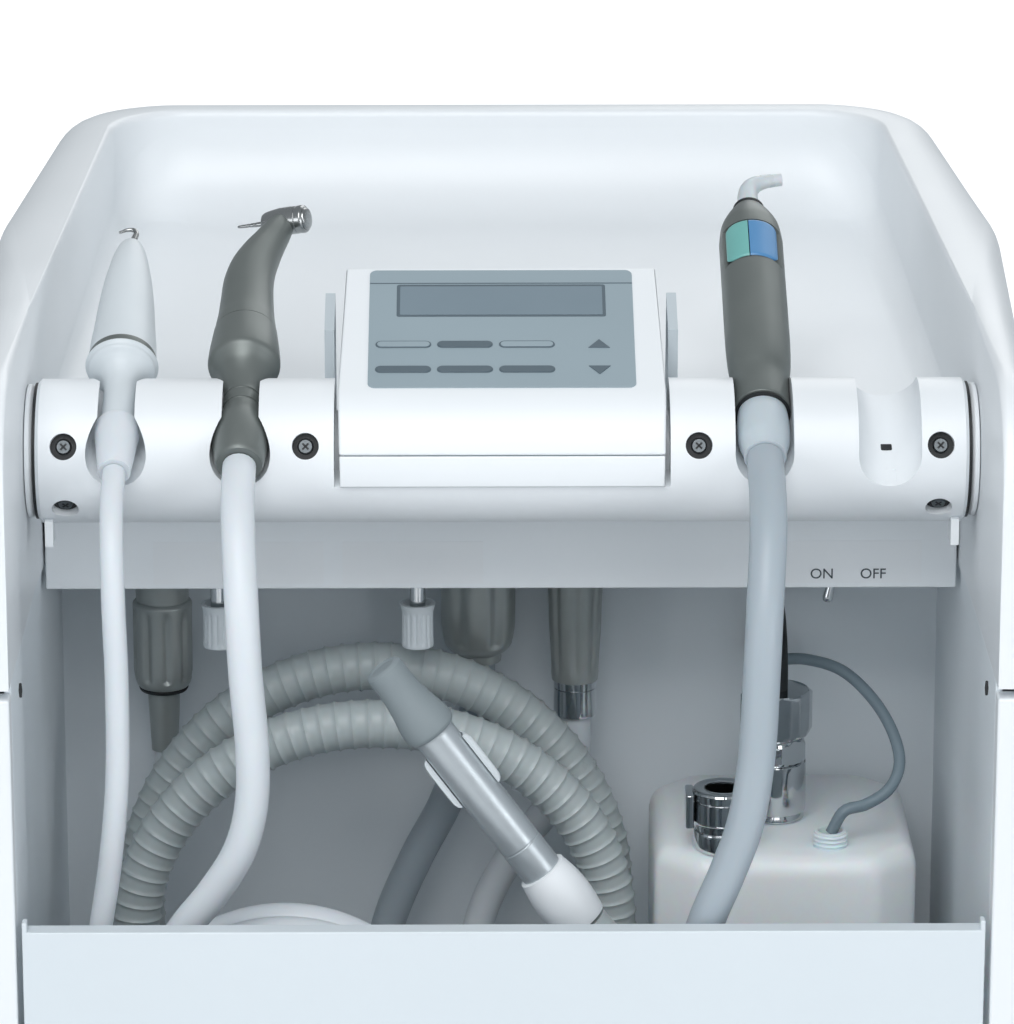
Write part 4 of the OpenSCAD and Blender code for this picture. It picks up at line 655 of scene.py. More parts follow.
BAR_R, BAR_END, DISC_IN, GAP_R = 21.6, 138.6, 139.5, 20.4
SPARE_X, SPARE_R, WINDOW_S = 115.0, 9.35, 13.8
SLOT_MIDDLES = (SCALER_X, MOTOR_X, SYRINGE_X, SPARE_X)
SCREWS = ((-130, 19), (-130, -38), (130, 19), (130, -38), (-58.3, 19), (58.3, 19))
SQUARE = np.array([[-1, -1], [1, -1], [1, 1], [-1, 1]])
DIAGONAL = np.array([[1, 1], [-1, 1]])/np.sqrt(2)
lobed_bar()
# a thin black disc in the gap between each end of the bar and its end disc: painted shade that draws the shadow gap
# as a crisp dark line
for side in (-1, 1):
    turn(f"end_gap_shade_{side + 1}", [[0, BAR_END], [0, BAR_END], [GAP_R, BAR_END], [GAP_R, BAR_END],
         [GAP_R, DISC_IN - 0.1], [GAP_R, DISC_IN - 0.1], [0, DISC_IN - 0.1]],
         (BAR, np.array([[0, side, 0], [0, 0, 1.0], [side, 0, 0]])), "black_rubber_and_shade", "cabinet", steps=1)
# in each screw's well, a black ring round the head and a black cross in its recess: painted shade at the bottom of
# the well and inside the cross
for i, (x, lean) in enumerate(SCREWS):
    q = np.radians(lean)
    out = np.array([0, -np.cos(q), np.sin(q)])
    screw_seat = (BAR + [x, 0, 0] + BAR_R*out, np.array([[1, 0, 0], np.cross(out, [1, 0, 0]), out]))
    turn(f"screw_well_shade_{i}", [[2.45, -2.98], [2.45, -2.98], [3.95, -2.98], [3.95, -2.98], [3.95, -2.7], [3.95, -2.7],
         [2.45, -2.7], [2.45, -2.7], [2.45, -2.98]], screw_seat, "black_rubber_and_shade", "cabinet", sides=32,
         steps=1)
    for turned, arm in enumerate(([1.2, 0.28], [0.28, 1.2])):
        prism(f"screw_cross_shade_{i}_{turned}", SQUARE*arm @ DIAGONAL, -2.25, -1.36, "black_rubber_and_shade", "cabinet",
              0.0, place=screw_seat)
# the sensor's window lies on the floor of the spare slot
filler_side = np.array([[-19.05, -8.8], [-13.95, -8.8], [-13.95, -2.5], [-19.05, -4.72]])
prism("sensor_window_frame", filler_side, 113.95, 117.25, "moulded_abs", "cabinet", 0.0,
      place=(BAR, np.array([[0, 1, 0], [0, 0, 1], [1, 0, 0]])))
prism("sensor_window", rounded_box(3.3, 2.7, 0.3, 2), -0.1, 0.25, "black_rubber_and_shade", "cabinet", 0.0,
      place=(BAR + on_axis(SPARE_X, WINDOW_S) + SPARE_R*BELOW, np.array([[1, 0, 0], ALONG, -BELOW])))

# ---------------------------------------------------------------- console

FACE_TILT, CONSOLE_R, FACE_L, CONSOLE_T, CORE = np.radians(22), 23.0, 63.0, 22.0, 12.35
FACE = (BAR + [0, -CONSOLE_R*np.sin(FACE_TILT), CONSOLE_R*np.cos(FACE_TILT)],
        np.array([[1, 0, 0], [0, np.cos(FACE_TILT), np.sin(FACE_TILT)],
                  [0, -np.sin(FACE_TILT), np.cos(FACE_TILT)]]))


def polar(r, q):
    """A point at radius r from the bar's axis and q degrees up from the back, in the side view."""
    q = np.radians(np.asarray(q, float))
    return np.column_stack([r*np.cos(q), r*np.sin(q)])


def bulged(name, outline, half, bow, finish):
    """A side-view outline carried across the console: it is widest 35 mm up its face and bows in from there by the
    square of the distance, by bow in the next 28 mm up and by four tenths of it in 58 mm down."""
    outline = np.asarray(outline, float)
    s = outline @ [np.cos(FACE_TILT), np.sin(FACE_TILT)] - 35
    w = half - bow*np.where(s > 0, (s/28)**2, 0.4*(s/58)**2)
    n = len(outline)
    sides = [np.column_stack([m*w, outline + BAR[1:]]) for m in (-1, 1)]
    return make(name, np.vstack(sides), quads(2, n) + [list(range(n)), list(range(n, 2*n))], finish, "console",
                ["console_case"] if name == "console_cover" else (), 28, min(1.6, half - 47.5))


face_end = np.array([[np.cos(FACE_TILT), np.sin(FACE_TILT)]])*FACE_L + polar(CONSOLE_R, 112)
drop = np.array([[-np.sin(FACE_TILT), np.cos(FACE_TILT)]])*-CONSOLE_T
back_low = polar(25.6, 42)
cover_outline = np.vstack([
    polar(CONSOLE_R, np.linspace(168.3, 112, 22)),
    arc_corner(polar(CONSOLE_R, 112)[0], face_end[0], (face_end + drop)[0], 3, 6),
    arc_corner(face_end[0], (face_end + drop)[0], back_low[0], 3, 6), back_low,
    polar(CORE, np.linspace(42, 168.3, 36))])
bulged("console_cover", cover_outline, 49.1, 2.2, "moulded_abs")
base_outline = np.vstack([
    polar(CONSOLE_R, np.linspace(193.2, 169.0, 12)), polar(CORE, np.linspace(169.0, 193.2, 12))])
bulged("console_base", base_outline, 49.0, 2.2, "moulded_abs")
seam_outline = np.vstack([polar(CONSOLE_R - 1.6, [170, 167]), polar(CORE, [167, 170])])
bulged("console_seam", seam_outline, 47.5, 2.2, "printed_film")


def on_film(name, outline, low, high, finish, x=0.0, s=0.0, bevel=0.15):
    """A flat shape on the console's face, s up from the face's lower edge."""
    outline = np.asarray(outline, float) + [x, s]
    return prism(name, outline, low, high, finish, "console", bevel, place=FACE)


film = on_film("keypad_film_sheet", rounded_box(80, 59.2, 2.2), -0.4, 0.35, "printed_film", s=29.9)
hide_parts("keypad_film")
on_film("display_frame", rounded_box(63.4, 16.4, 0.8), 0.3, 0.42, "printed_dark", s=43.7, bevel=0.05)
on_film("display_glass", rounded_box(61.4, 14.4, 0.4), 0.35, 0.5, "display_window", s=43.7, bevel=0.05)
for i, x in enumerate((-29.5, -11, 7.6)):
    for row, s in enumerate((9.1, 21.5)):
        dark = (row, i) in ((0, 0), (0, 1), (0, 2), (1, 1))
        on_film(f"key_rim_{i}_{row}", capsule(16.8, 3.5), 0.2, 0.55, "printed_dark", x, s)
        on_film(f"key_face_{i}_{row}", capsule(15.8 if not dark else 16.2, 2.5 if not dark else 2.9), 0.3, 0.72,
                "printed_dark" if dark else "printed_film", x, s)
for row, s in enumerate((8.8, 21.6)):
    flip = 1 if row else -1
    on_film(f"arrow_{row}", np.array([[-3.3, -1.9], [3.3, -1.9], [0, 2.3]])*[1, flip], 0.2, 0.62, "printed_dark",
            29.3, s)
# the fold in the film above the display
on_film("film_fold", rounded_box(80, 0.35, 0.1, 2), 0.3, 0.45, "printed_dark", s=52.6, bevel=0.0)

# ---------------------------------------------------------------- scaler

scaler_seat = seat_on_bar(SCALER_X)
turn("scaler_sleeve", [[0, 14], [0, 14], [5, 14], [5, 14], [5, 30], [6.2, 35], [8.2, 37.6], [9.9, 39], [10.25, 40],
     [10.25, 41.8], [0, 41.8]], scaler_seat, "blasted_peek", "scaler", ["scaler_body"])
turn("scaler_grip_ring", [[9, 41.8], [9, 41.8], [10.3, 41.9], [10.42, 42.6], [10.4, 43.8], [10.3, 44.4], [10.3, 44.4],
     [9, 44.5]], scaler_seat, "satin_titanium", "scaler")
turn("scaler_cone", [[0, 44.5], [0, 44.5], [10.25, 44.5], [10.25, 44.5], [10.15, 47], [9.9, 52], [9.3, 59], [8.6, 69],
     [7.6, 79.5], [6.7, 86], [5.7, 92], [4.6, 97], [3.3, 100.5], [1.9, 102], [1.9, 102], [0, 102.1]],
     scaler_seat, "blasted_peek", "scaler")
turn("scaler_boot_sleeve", [[0, -8], [0, -8], [4.5, -8], [4.7, -7.5], [5.2, -5], [6.1, 4], [6.6, 8], [6.6, 12],
     [6.2, 13.3], [5.1, 13.8], [5, 14], [5, 14], [0, 14]], scaler_seat, "white_silicone", "scaler",
     ["scaler_boot"])
tip_line, _ = even(through([[0, 0, 101.5], [0.5, 0, 103], [1, 0, 105.2], [1.3, 0, 107.2], [0.6, 0, 108.7],
                            [-1.4, 0, 108.9], [-4, 0, 107.6]], 8), 0.3)
sweep("scaler_hook", placed(tip_line, scaler_seat), np.linspace(1.25, 0.4, len(tip_line)), 16, "stainless", "scaler",
      ["scaler_tip"])

# ---------------------------------------------------------------- motor handpiece

motor_seat = seat_on_bar(MOTOR_X)
turn("micromotor_body", [[0, -5], [0, -5], [6.2, -5], [6.6, -4.8], [7.4, -3], [8.1, 3], [8.2, 8], [7.6, 13],
     [6.2, 17.6], [5.65, 20], [5.65, 20], [5.3, 20.2], [5.3, 20.7], [5.65, 20.9], [5.65, 20.9], [5.6, 24.6],
     [5.6, 24.6], [5.3, 24.8], [5.3, 25.3], [5.6, 25.5], [5.6, 25.5], [5.6, 27.5], [6.4, 32.5], [7.9, 36.8],
     [9.6, 39.3], [10.8, 41], [10.95, 43.5], [10.5, 49], [9.65, 56.6], [9.65, 56.6], [9.3, 56.9], [9.3, 56.9],
     [0, 57]], motor_seat, "satin_titanium", "motor_handpiece", ["micromotor"])
neck_line = through([[0, 0, 57], [0, 0, 60.5], [0, 0, 65], [0, 0, 73], [0.2, 0, 81], [1.3, 0, 88.5], [3.4, 0, 95.5],
                     [5.7, 0, 101.5], [8.1, 0, 107.5], [10.6, 0, 113.3]], 8)
neck_radii = through(np.column_stack([[9.5, 9.1, 8.6, 8.1, 7.75, 7.2, 6.4, 5.5, 4.7, 3.6], np.arange(10)]), 8)[:, 0]
sweep("contra_angle_neck", placed(neck_line, motor_seat), neck_radii, 48, "satin_titanium", "motor_handpiece",
      ["contra_angle"])
HEAD_TURN, HEAD_LEAN, HEAD_L, HEAD_R = np.radians(19.2), np.radians(13.5), 7.2, 4.35
head_out = np.array([np.cos(HEAD_LEAN)*np.cos(HEAD_TURN), -np.cos(HEAD_LEAN)*np.sin(HEAD_TURN),
                     -np.sin(HEAD_LEAN)]) @ motor_seat[1]
head_side = np.array([np.sin(HEAD_TURN), np.cos(HEAD_TURN), 0]) @ motor_seat[1]
head_seat = (placed([10.6, 0, 113.3], motor_seat), np.array([np.cross(head_side, head_out), head_side, head_out]))
turn("contra_angle_head", [[0.85, -HEAD_L], [0.85, -HEAD_L], [2.5, -HEAD_L], [3.2, -6.6], [3.7, -5], [4.2, -2],
     [HEAD_R, 0.5], [HEAD_R, 4.4], [HEAD_R, 4.4], [4.2, 4.5], [4.2, 4.8], [HEAD_R, 4.9], [HEAD_R, 4.9],
     [HEAD_R, HEAD_L - 0.6], [HEAD_R - 0.5, HEAD_L], [HEAD_R - 0.5, HEAD_L], [3.56, HEAD_L], [3.56, HEAD_L],
     [3.56, HEAD_L - 1.6], [3.56, HEAD_L - 1.6], [0.85, HEAD_L - 1.6], [0.85, HEAD_L - 1.6], [0.85, -HEAD_L]],
     head_seat, "stainless", "motor_handpiece")
turn("chuck_button_cap", [[0, HEAD_L - 0.6], [0, HEAD_L - 0.6], [3.5, HEAD_L - 0.6], [3.5, HEAD_L - 0.6],
     [3.5, HEAD_L + 0.2], [3.1, HEAD_L + 0.7], [2.2, HEAD_L + 0.85], [0, HEAD_L + 0.9]],
     head_seat, "stainless", "chuck_button", ["chuck_button"])
bur_seat = (head_seat[0], np.array([head_seat[1][0], -head_seat[1][1], -head_seat[1][2]]))
turn("bur_shank", [[0, 3.2], [0, 3.2], [0.8, 3.2], [0.8, 3.2], [0.8, 8.7], [0.7, 10.2], [0.6, 12.2], [0.55, 14.2],
     [0.5, 15.4], [0.35, 16.2], [0, 16.4]], bur_seat, "stainless", "bur", ["bur"], sides=24)

# ---------------------------------------------------------------- syringe

syringe_seat = seat_on_bar(SYRINGE_X)
turn("syringe_boot_sleeve", [[0, -1.6], [0, -1.6], [5.8, -1.6], [6.2, -1], [6.6, 0.8], [7.7, 5.5], [7.8, 12],
     [7.7, 15], [7.4, 18], [7.4, 18], [0, 18]], syringe_seat, "boot_silicone", "syringe",
     ["syringe_boot"])
turn("syringe_collar", [[0, 18.05], [0, 18.05], [7.85, 18.05], [7.9, 18.5], [7.9, 19.3], [7.7, 19.6], [7.7, 19.6],
     [0, 19.6]], syringe_seat, "black_rubber_and_shade", "syringe")


def syringe_sleeve():
    """The sleeve: a turned form whose upper side is cut flat along the bed of the two buttons, by holding every
    point there above the bed's plane down to it."""
    curve = through([[7.7, 19.6], [8.2, 19.8], [8.35, 20.4], [8.4, 23], [8.45, 31.5], [9.2, 37], [9.6, 42], [9.8, 48],
                     [9.9, 56], [9.9, 82.9], [9.9, 82.9], [9.9, 83.1], [9.9, 99], [9.83, 101.2], [9.83, 101.2],
                     [9.8, 101.4], [9.6, 104], [9, 108], [7.4, 112.4], [5.4, 116.5], [4.85, 117.6], [4.85, 117.6]], 6)
    sides = 96
    angle = np.linspace(0, 2*np.pi, sides, endpoint=False)
    x, y = curve[:, :1]*np.cos(angle), curve[:, :1]*np.sin(angle)
    bed = (curve[:, 1:] > 83) & (curve[:, 1:] < 101.3)
    y = np.where(bed & (y < -4.3), -4.3, y)
    points = np.stack([x, y, np.repeat(curve[:, 1:], sides, 1)], -1)
    n = len(curve)
    return placed(points, syringe_seat), quads(n, sides) + [list(range(sides)), list(range((n - 1)*sides, n*sides))]


sleeve, sleeve_faces = syringe_sleeve()
make("syringe_sleeve", sleeve, sleeve_faces, "satin_titanium", "syringe", ["syringe_body"])
turn("syringe_ring", [[4, 117.6], [4, 117.6], [4.85, 117.65], [4.95, 118.2], [4.85, 118.9], [4.3, 119.3],
     [4.3, 119.3], [0, 119.3]], syringe_seat, "black_rubber_and_shade", "syringe")


def button(name, side, finish, body, node):
    """One of the two buttons: a part of a cylinder, a little proud of the sleeve, between the split and the button's
    outer edge. The outer edge turns in along a quarter circle at both ends, and the last half millimetre rounds down
    by a square root."""
    z = np.linspace(83.4, 100.9, 48)
    end = np.clip(np.minimum(z - z[0], z[-1] - z), 0, 2.6)
    turn_in = 2.6 - np.sqrt(2.6**2 - (2.6 - end)**2)
    inner = -1.3 + 0.14*side
    outer = np.full_like(z, 7.5) - turn_in if side > 0 else -8.1 + turn_in
    share = np.linspace(0, 1, 22)
    x = inner + (outer - inner)[:, None]*share
    down = 0.45*(1 - np.sqrt(np.clip(np.minimum(z - z[0], z[-1] - z)/0.6, 0, 1)))[:, None] + 0.3*share**8
    y = -np.sqrt(np.clip(10.12**2 - x**2, 1, None)) + down
    top = np.stack([x, y, np.repeat(z[:, None], 22, 1)], -1)
    low = top.copy()
    low[..., 1] = np.maximum(-7.0, low[..., 1] + 0.34)
    grid = np.concatenate([top, low[:, ::-1]], 1)
    n, m = grid.shape[:2]
    make(name, placed(grid, syringe_seat), quads(n, m) + [list(range(m)), list(range((n - 1)*m, n*m))], finish, body,
         [node], 40, 0.3)


button("air_button_cap", 1, "blue_button", "air_button", "air_button")
button("water_button_cap", -1, "aqua_button", "water_button", "water_button")
nozzle_line, _ = even(through([[0, 0, 119.35], [0, 0, 122], [0, 0, 125.5], [0.5, 0, 128.5], [1.9, 0, 131],
                               [4.2, 0, 132.7], [7.4, 0, 133.7], [11.0, 0, 134.3]], 10), 0.5)
nozzle_r = np.interp(
    np.linspace(0, 1, len(nozzle_line)), [0, 0.3, 0.5, 0.65, 0.8, 1], [3.3, 3.2, 2.9, 2.5, 2.15, 2.0])
sweep("nozzle_tube", placed(nozzle_line, syringe_seat), nozzle_r, 32, "milky_tip", "nozzle",
      ["syringe_nozzle"])

# ---------------------------------------------------------------- suction handpiece

turn("suction_tip_rubber", [[3.6, 0.4], [4.2, 0], [5.0, 0.1], [5.8, 0.9], [6, 2], [6, 8.5], [6.7, 14], [7.8, 19.5],
     [8.1, 22], [8.0, 24], [7.2, 25.2], [7.2, 25.2], [3.6, 25.3], [3.6, 25.3], [3.6, 23], [3.6, 3], [3.6, 0.4]],
     SUCTION, "grey_rubber", "suction_handpiece", ["suction_tip"])
turn("suction_tube", [[4, 25.3], [4, 25.3], [6.1, 25.3], [6.4, 26], [6.4, 26], [6.4, 30], [6.4, 52], [6.4, 68.6],
     [6.4, 68.6], [6.2, 68.8], [6.2, 69.2], [6.4, 69.4], [6.4, 69.4], [6.4, 78.8], [6.1, 79.5], [6.1, 79.5],
     [4, 79.6], [4, 79.6], [4, 60], [4, 40], [4, 25.3]], SUCTION, "brushed_aluminium", "suction_handpiece",
     ["suction_body"])
turn("suction_end_cap", [[4, 79.6], [4, 79.6], [7.2, 79.6], [7.6, 80.4], [8.4, 84.5], [8.8, 88], [8.85, 92.5],
     [8.3, 97.6], [7.9, 99.6], [7.9, 99.6], [4, 100], [4, 100], [4, 90], [4, 79.6]], SUCTION, "moulded_abs",
     "suction_handpiece", ["suction_cap"])


def valve_slide():
    """The slide: a saddle round the back of the tube, from one side to the other, thicker at its two edges."""
    a = np.radians(np.linspace(-14, 194, 60))
    z = np.array([31, 31.6, 33, 36, 40, 44, 47, 48.4, 49.0])
    ends = np.clip(np.sqrt(np.clip(1 - ((z - 40)/9.0)**8, 0, 1)), 0.25, 1)
    edge = np.exp(-((np.degrees(a) + 8)/9)**2) + np.exp(-((np.degrees(a) - 188)/9)**2)
    outer_r = 6.75 + ends[:, None]*(1.15 + 0.75*edge[None])
    outer = np.stack([outer_r*np.cos(a), outer_r*np.sin(a), np.repeat(z[:, None], 60, 1)], -1)
    inner = np.stack([6.72*np.cos(a) + 0*z[:, None], 6.72*np.sin(a) + 0*z[:, None], np.repeat(z[:, None], 60, 1)], -1)
    grid = np.concatenate([outer, inner[:, ::-1]], 1)
    n, m = grid.shape[:2]
    return placed(grid, SUCTION), quads(n, m) + [list(range(m)), list(range((n - 1)*m, n*m))]


saddle, saddle_faces = valve_slide()
make("suction_slide_saddle", saddle, saddle_faces, "blasted_peek", "suction_slide",
     ["suction_slide"], 40, 0.2)

# ---------------------------------------------------------------- plugs, knobs and the toggle lever

turn("scaler_plug_sleeve", [[0, -52], [0, -52], [8.4, -52], [8.4, -73.8], [8.6, -74.4], [9.4, -75.5], [9.5, -78],
     [9.5, -96], [9.2, -100], [8.4, -102.6], [6.8, -104.2], [6.8, -104.2], [5.2, -104.6], [5.2, -104.6], [4.9, -112],
     [4.2, -125], [4.2, -125], [0, -125]], upright(-108, 88, 0), "satin_chrome", "cabinet",
     ["scaler_plug"], sides=120, flutes=(9, 1.1, -101, -77))
turn("scaler_plug_ring", [[6.5, -103.4], [6.5, -103.4], [7.7, -103.4], [7.9, -103.9], [7.4, -104.7], [6.5, -104.8]],
     upright(-108, 88, 0), "black_rubber_and_shade", "cabinet")
turn("syringe_plug_sleeve", [[0, -52], [0, -52], [12.4, -52], [12.4, -52], [12.4, -60], [12.4, -78], [12.1, -84],
     [11, -88.6], [9.4, -91], [8, -92], [8, -92], [7.5, -92.3], [7.3, -95], [7.3, -95], [0, -95]], upright(-7, 88, 0),
     "satin_chrome", "cabinet", ["syringe_plug"], sides=120, flutes=(6, 1.2, -89, -56))
turn("motor_plug_sleeve", [[0, -52], [0, -52], [8.7, -52], [8.7, -79], [8.3, -88], [7.5, -100.4], [7.2, -101],
     [7.2, -101], [0, -101]], upright(24, 88, 0), "satin_chrome", "cabinet", ["motor_plug"],
     sides=120, flutes=(8, 0.8, -98, -56))
turn("motor_plug_ferrule", [[0, -101.05], [0, -101.05], [6.8, -101.05], [6.8, -101.05], [6.8, -104], [6.8, -104],
     [6.5, -104.2], [6.8, -104.4], [6.8, -104.4], [6.8, -112.6], [6.5, -113], [6.5, -113], [0, -113]],
     upright(24, 88, 0), "chrome_plate", "cabinet")
for node, x in (("spray_knob_left", -88), ("spray_knob_right", -26)):
    turn(node + "_grip", [[2.55, -77], [2.55, -77], [4.5, -77], [5.0, -76.5], [4.9, -74], [4.9, -66.6], [5.3, -64],
         [5.6, -63], [5.6, -63], [4.2, -63.05], [4.2, -63.05], [4, -64.6], [4, -64.6], [2.55, -64.6], [2.55, -64.6],
         [2.55, -77]], upright(x, 47, 0), "blasted_peek", BODY_OF[node],
         [node], sides=120, flutes=(15, 0.45, -76.6, -65), sharp=50)
    turn(node + "_end", [[0, -76.6], [0, -76.6], [2.5, -76.6], [2.5, -76.6], [2.5, -75.5], [0, -75.4]],
         upright(x, 47, 0), "chrome_plate", "cabinet")

lever_tilt = np.radians(12)
lever_axes = np.array([[np.cos(lever_tilt), 0, -np.sin(lever_tilt)], [0, 1, 0],
                       [np.sin(lever_tilt), 0, np.cos(lever_tilt)]])
turn("toggle_bat", [[0, 1.6], [1, 1.2], [1.4, 0], [1, -3], [1.5, -13], [1.62, -15.2], [1.2, -16.4], [0, -16.8]],
     (BAR + [105, 45, -46], lever_axes), "chrome_plate", "toggle", ["toggle_lever"], sides=32)

# ---------------------------------------------------------------- water bottle and its fittings

BOTTLE_W, BOTTLE_D, BOTTLE_H, BOTTLE_X, BOTTLE_Y, FLOOR = 82.0, 84.0, 131.0, 89.0, 58.0, -268.0
TOP = FLOOR + BOTTLE_H


def eight_sided(inset, n=5):
    """An outline with bevelled, softened corners, moved inwards by an inset."""
    w, d, b = BOTTLE_W/2 - inset, BOTTLE_D/2 - inset, 13 - inset/2
    corners = [(-w + b, -d), (w - b, -d), (w, -d + b), (w, d - b), (w - b, d), (-w + b, d), (-w, d - b), (-w, -d + b)]
    return np.vstack([arc_corner(corners[i - 1], corners[i], corners[(i + 1) % 8], 7, n) for i in range(8)])


def bottle():
    """Outlines stacked up: a rounded foot, straight sides with a shallow hollow between two belts, and a shoulder
    that follows a quarter ellipse to the top."""
    levels = [(6, 0), (2.5, 0.6), (0.6, 2.4), (0, 5), (0, 18), (0.9, 20), (0.9, 60), (0, 62), (0, 100), (0, 124),
              (0.5, 126.6), (1.6, 128.8), (3.2, 130.2), (5.2, 131)]
    stack = [np.column_stack([eight_sided(inset) + [BOTTLE_X, BOTTLE_Y], np.full(48, FLOOR + z)]) + BAR
             for inset, z in levels]
    n = len(levels)
    return np.array(stack), quads(n, 48) + [list(range(48)), list(range((n - 1)*48, n*48))]


body_points, body_faces = bottle()
make("water_bottle_body", body_points, body_faces, "milky_polythene", "cabinet", ["water_bottle"], 50)
thread = [[3.8, 1.2], [3.8, 1.2], [3.8, 4.6], [4, 4.9], [4.9, 4.9], [5.1, 4.6], [5.0, 4.2], [5.6, 3.8], [5.0, 3.4],
          [5.0, 2.8], [5.6, 2.4], [5.0, 2.0], [5.0, 1.4], [5.6, 1.0], [5.2, 0.6], [5.4, 0], [5.4, 0], [0, 0],
          [0, 0], [0, 1.2]]
turn("bottle_neck", thread, upright(102.8, 29, TOP), "milky_polythene", "cabinet", steps=4)
open_seat = upright(69, 27, TOP)
turn("open_coupling_collar", [[5.5, 2], [5.5, 2], [5.5, 18.4], [6.4, 19.8], [6.4, 19.8], [8.8, 20], [9.6, 19.2],
     [9.6, 19.2], [9.6, 17], [9.6, 17], [9.2, 16.8], [9.2, 16.4], [9.6, 16.2], [9.6, 16.2], [9.6, 10], [9.6, 10],
     [8.9, 9], [8.5, 6.5], [8.5, 6.5], [9.1, 6], [9.1, 2], [8.4, 0], [8.4, 0], [0, 0], [0, 0], [0, 2], [0, 2],
     [5.5, 2]], open_seat, "chrome_plate", "cabinet", ["open_coupling"], steps=4)
latch = rounded_box(2.6, 11, 0.8, 4)
prism("open_coupling_latch", latch + [69 - 10.4 + BAR[0], 27 + BAR[1]], TOP + BAR[2] + 8, TOP + BAR[2] + 19,
      "chrome_plate", "cabinet", 0.5)
line_seat = upright(87, 56, TOP)
turn("line_coupling_body", [[0, 0], [0, 0], [8.6, 0], [8.6, 2.8], [8.6, 2.8], [9.2, 3.2], [9.6, 4], [9.6, 17.6],
     [9.2, 18.4], [8.4, 18.9], [8.4, 18.9], [8, 19], [7.8, 28.2], [7.8, 28.2], [0, 28.2]], line_seat, "chrome_plate",
     "cabinet", ["line_coupling"], steps=4)


def hex_nut(name, across, low, high, turn_by, seat):
    """A hexagon nut: six flats whose corners are cut by a cone at both ends, as the radius is held under a line that
    falls towards the ends."""
    angle = np.radians(np.arange(0, 360, 6.0) + turn_by)
    flat = across/2/np.cos((angle - np.radians(turn_by) + np.pi/6) % (np.pi/3) - np.pi/6)
    z = np.array([low, low, low + 0.5, low + 1.3, high - 1.3, high - 0.5, high, high])
    cap = np.array([across/2*0.6, across/2*1.0, across/2*1.07, 99, 99, across/2*1.07, across/2*1.0, across/2*0.6])
    r = np.minimum(flat[None], cap[:, None])
    points = np.stack([r*np.cos(angle), r*np.sin(angle), np.repeat(z[:, None], 60, 1)], -1)
    make(name, placed(points, seat), quads(8, 60) + [list(range(60)), list(range(420, 480))], "chrome_plate",
         "cabinet", (), 20)


hex_nut("line_coupling_nut_low", 17, 19, 27, 8, line_seat)
hex_nut("line_coupling_nut_high", 20, 28, 42.5, 38, line_seat)
elbow, _ = even(through([[0, 0, 41], [0, 0, 48], [0, 4, 55], [0, 12, 60], [0, 24, 62], [0, 54, 62]], 10), 2)
sweep("line_coupling_elbow", placed(elbow, line_seat), 3.5, 24, "black_rubber_and_shade", "cabinet")
sensor_seat = (BAR + [86, 110, -96], np.array([[1, 0, 0], [0, 0, 1], [0, -1, 0]]))
turn("sensor_plug_shell", [[0, 0], [0, 0], [6, 0], [6, 2.6], [5.6, 3], [4.4, 5], [4.2, 10.5], [3.4, 12.4], [3, 14],
     [3, 14], [0, 14]], sensor_seat, "black_rubber_and_shade", "cabinet", ["sensor_plug"])

# ---------------------------------------------------------------- castor wheels

WHEEL_R = 28.0
for end, x, y in (("fl", -116, -130), ("fr", 116, -130), ("bl", -116, 166), ("br", 116, 166)):
    wheel_seat = (np.array([x, y, WHEEL_R]), np.array([[0, 1, 0], [0, 0, 1], [1, 0, 0]]))
    turn(f"castor_tyre_{end}", [[22.4, -8], [22.4, -9.4], [25, -9.6], [27.2, -7.6], [28, -4.5], [28, 4.5],
         [27.2, 7.6], [25, 9.6], [22.4, 9.4], [22.4, 8], [22.4, 8], [22.4, -8]], wheel_seat, "tyre_rubber",
         f"wheel_{end}", [f"castor_wheel_{end}"], sharp=50)
    turn(f"castor_hub_{end}", [[4.05, -10], [4.05, -10], [8, -10], [8.4, -9.6], [9, -7], [9, -7], [20, -6.6],
         [20.6, -7], [21, -9], [22.4, -9.2], [22.4, -9.2], [22.4, 9.2], [22.4, 9.2], [21, 9], [20.6, 7], [20, 6.6],
         [9, 7], [9, 7], [8.4, 9.6], [8, 10], [4.05, 10], [4.05, 10], [4.05, -10]], wheel_seat, "blasted_peek",
         f"wheel_{end}")

# ---------------------------------------------------------------- small trim on the cabinet

APRON_Y, LABEL_Z, SWITCH_Z = 33, -45.6, -50.9
HOOK_X, HOOK_Z = 138.6, -46.6
FACING = np.array([[1, 0, 0], [0, 0, 1], [0, -1, 0]])


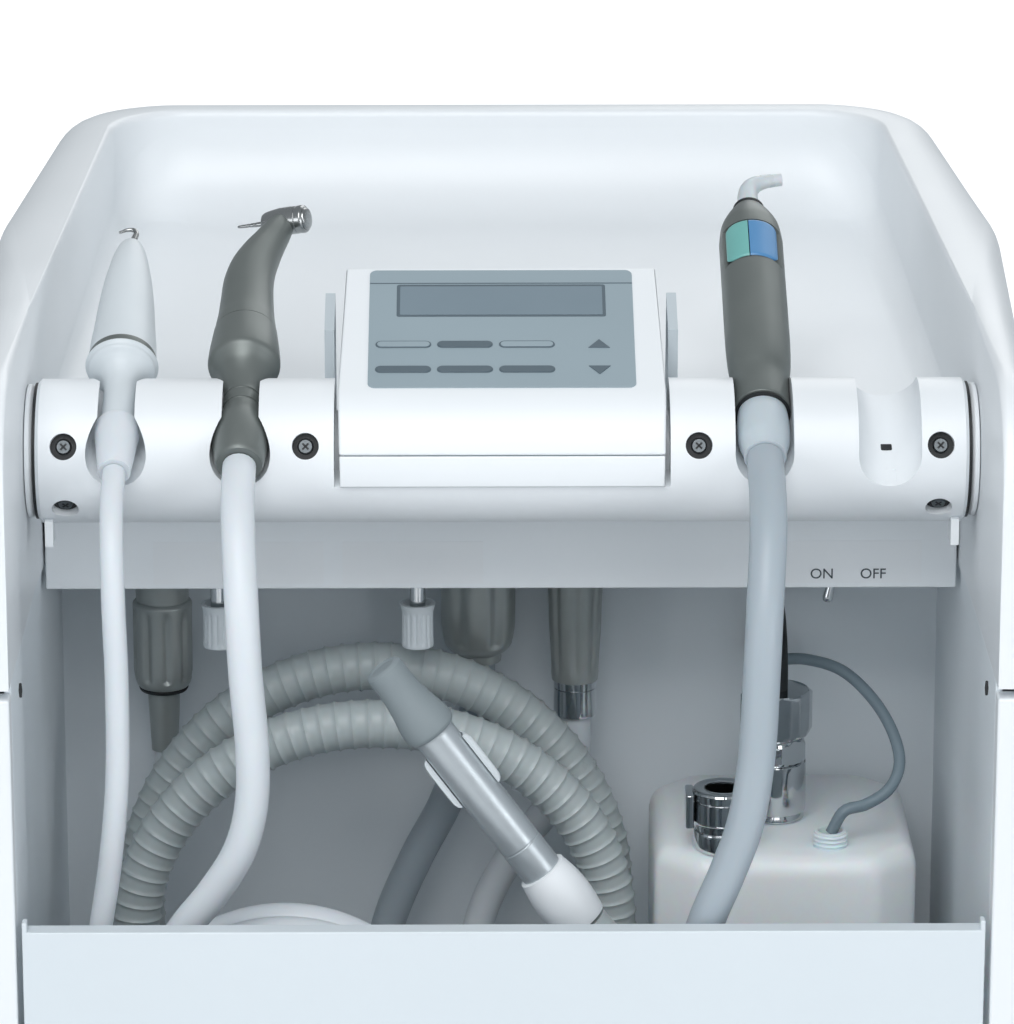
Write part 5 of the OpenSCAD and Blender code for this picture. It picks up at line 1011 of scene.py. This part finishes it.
def words(name, text, x, z, size):
    """Plain switch lettering on the apron, as a thin flat mesh."""
    curve = bpy.data.curves.new(name, "FONT")
    curve.body = text
    curve.size = size*0.001
    curve.extrude = 0.00005
    curve.align_x = "CENTER"
    made = bpy.data.objects.new(name, curve)
    bpy.context.scene.collection.objects.link(made)
    bpy.context.view_layer.update()
    mesh = bpy.data.meshes.new_from_object(made)
    bpy.data.objects.remove(made)
    co = np.empty(len(mesh.vertices)*3)
    mesh.vertices.foreach_get("co", co)
    co = co.reshape(-1, 3)
    place = (BAR + [x, APRON_Y, z])*0.001
    co = np.column_stack([co[:, 0] + place[0], place[1] - 0.0002 - co[:, 2], co[:, 1] + place[2]])
    mesh.vertices.foreach_set("co", co.ravel())
    mesh.materials.clear()
    mesh.materials.append(MATERIALS["printed_ink"])
    piece = bpy.data.objects.new(name, mesh)
    bpy.context.scene.collection.objects.link(piece)
    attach(piece, "cabinet")


# bare label strips on the apron
for side, x, wide in (("left", -81.0, 52.5), ("middle", -27.2, 43.4), ("right", 108.5, 42.4)):
    strip = rounded_box(wide, 13.6, 0.5, 3)
    prism(f"label_strip_{side}", strip, -0.02, 0.12, "label_film", "cabinet", 0.0,
          place=(BAR + [x, APRON_Y, LABEL_Z], FACING))
# small slots in the flanges beside the front panel, drawn as thin flat black sheets: painted shade inside the
# openings
for side in (-1, 1):
    prism(f"panel_hook_slot_shade_{side + 1}", capsule(1.1, 1.1, 5) + np.sign(capsule(1.1, 1.1, 5))*[0, 1.7], -0.02, 0.1,
          "black_rubber_and_shade", "cabinet", 0.0, place=(BAR + [side*HOOK_X, Y_FRONT - BAR[1], HOOK_Z], FACING))
words("switch_on", "ON", 99, SWITCH_Z, 4.6)
words("switch_off", "OFF", 114.8, SWITCH_Z, 4.6)

# ---------------------------------------------------------------- ground

ground_mesh = bpy.data.meshes.new("ground")
ground_mesh.from_pydata([(-12, -12, 0), (12, -12, 0), (12, 12, 0), (-12, 12, 0)], [], [(0, 1, 2, 3)])
ground = bpy.data.objects.new("ground", ground_mesh)
bpy.context.scene.collection.objects.link(ground)
paper = bpy.data.materials.new("paper_floor")
paper.use_nodes = True
tree = paper.node_tree
tree.nodes.clear()
rays = add(tree, "ShaderNodeLightPath", {}, {})
matt = add(tree, "ShaderNodeBsdfDiffuse", {}, {"Color": linear("#F4F5F6")})
glow = add(tree, "ShaderNodeEmission", {}, {"Color": linear("#FFFFFF"), "Strength": 0.8})
both = add(tree, "ShaderNodeAddShader", {}, {0: matt.outputs[0], 1: glow.outputs[0]})
pick = add(tree, "ShaderNodeMixShader", {}, {0: rays.outputs["Is Camera Ray"], 1: matt.outputs[0],
           2: both.outputs[0]})
add(tree, "ShaderNodeOutputMaterial", {}, {"Surface": pick.outputs[0]})
ground_mesh.materials.append(paper)
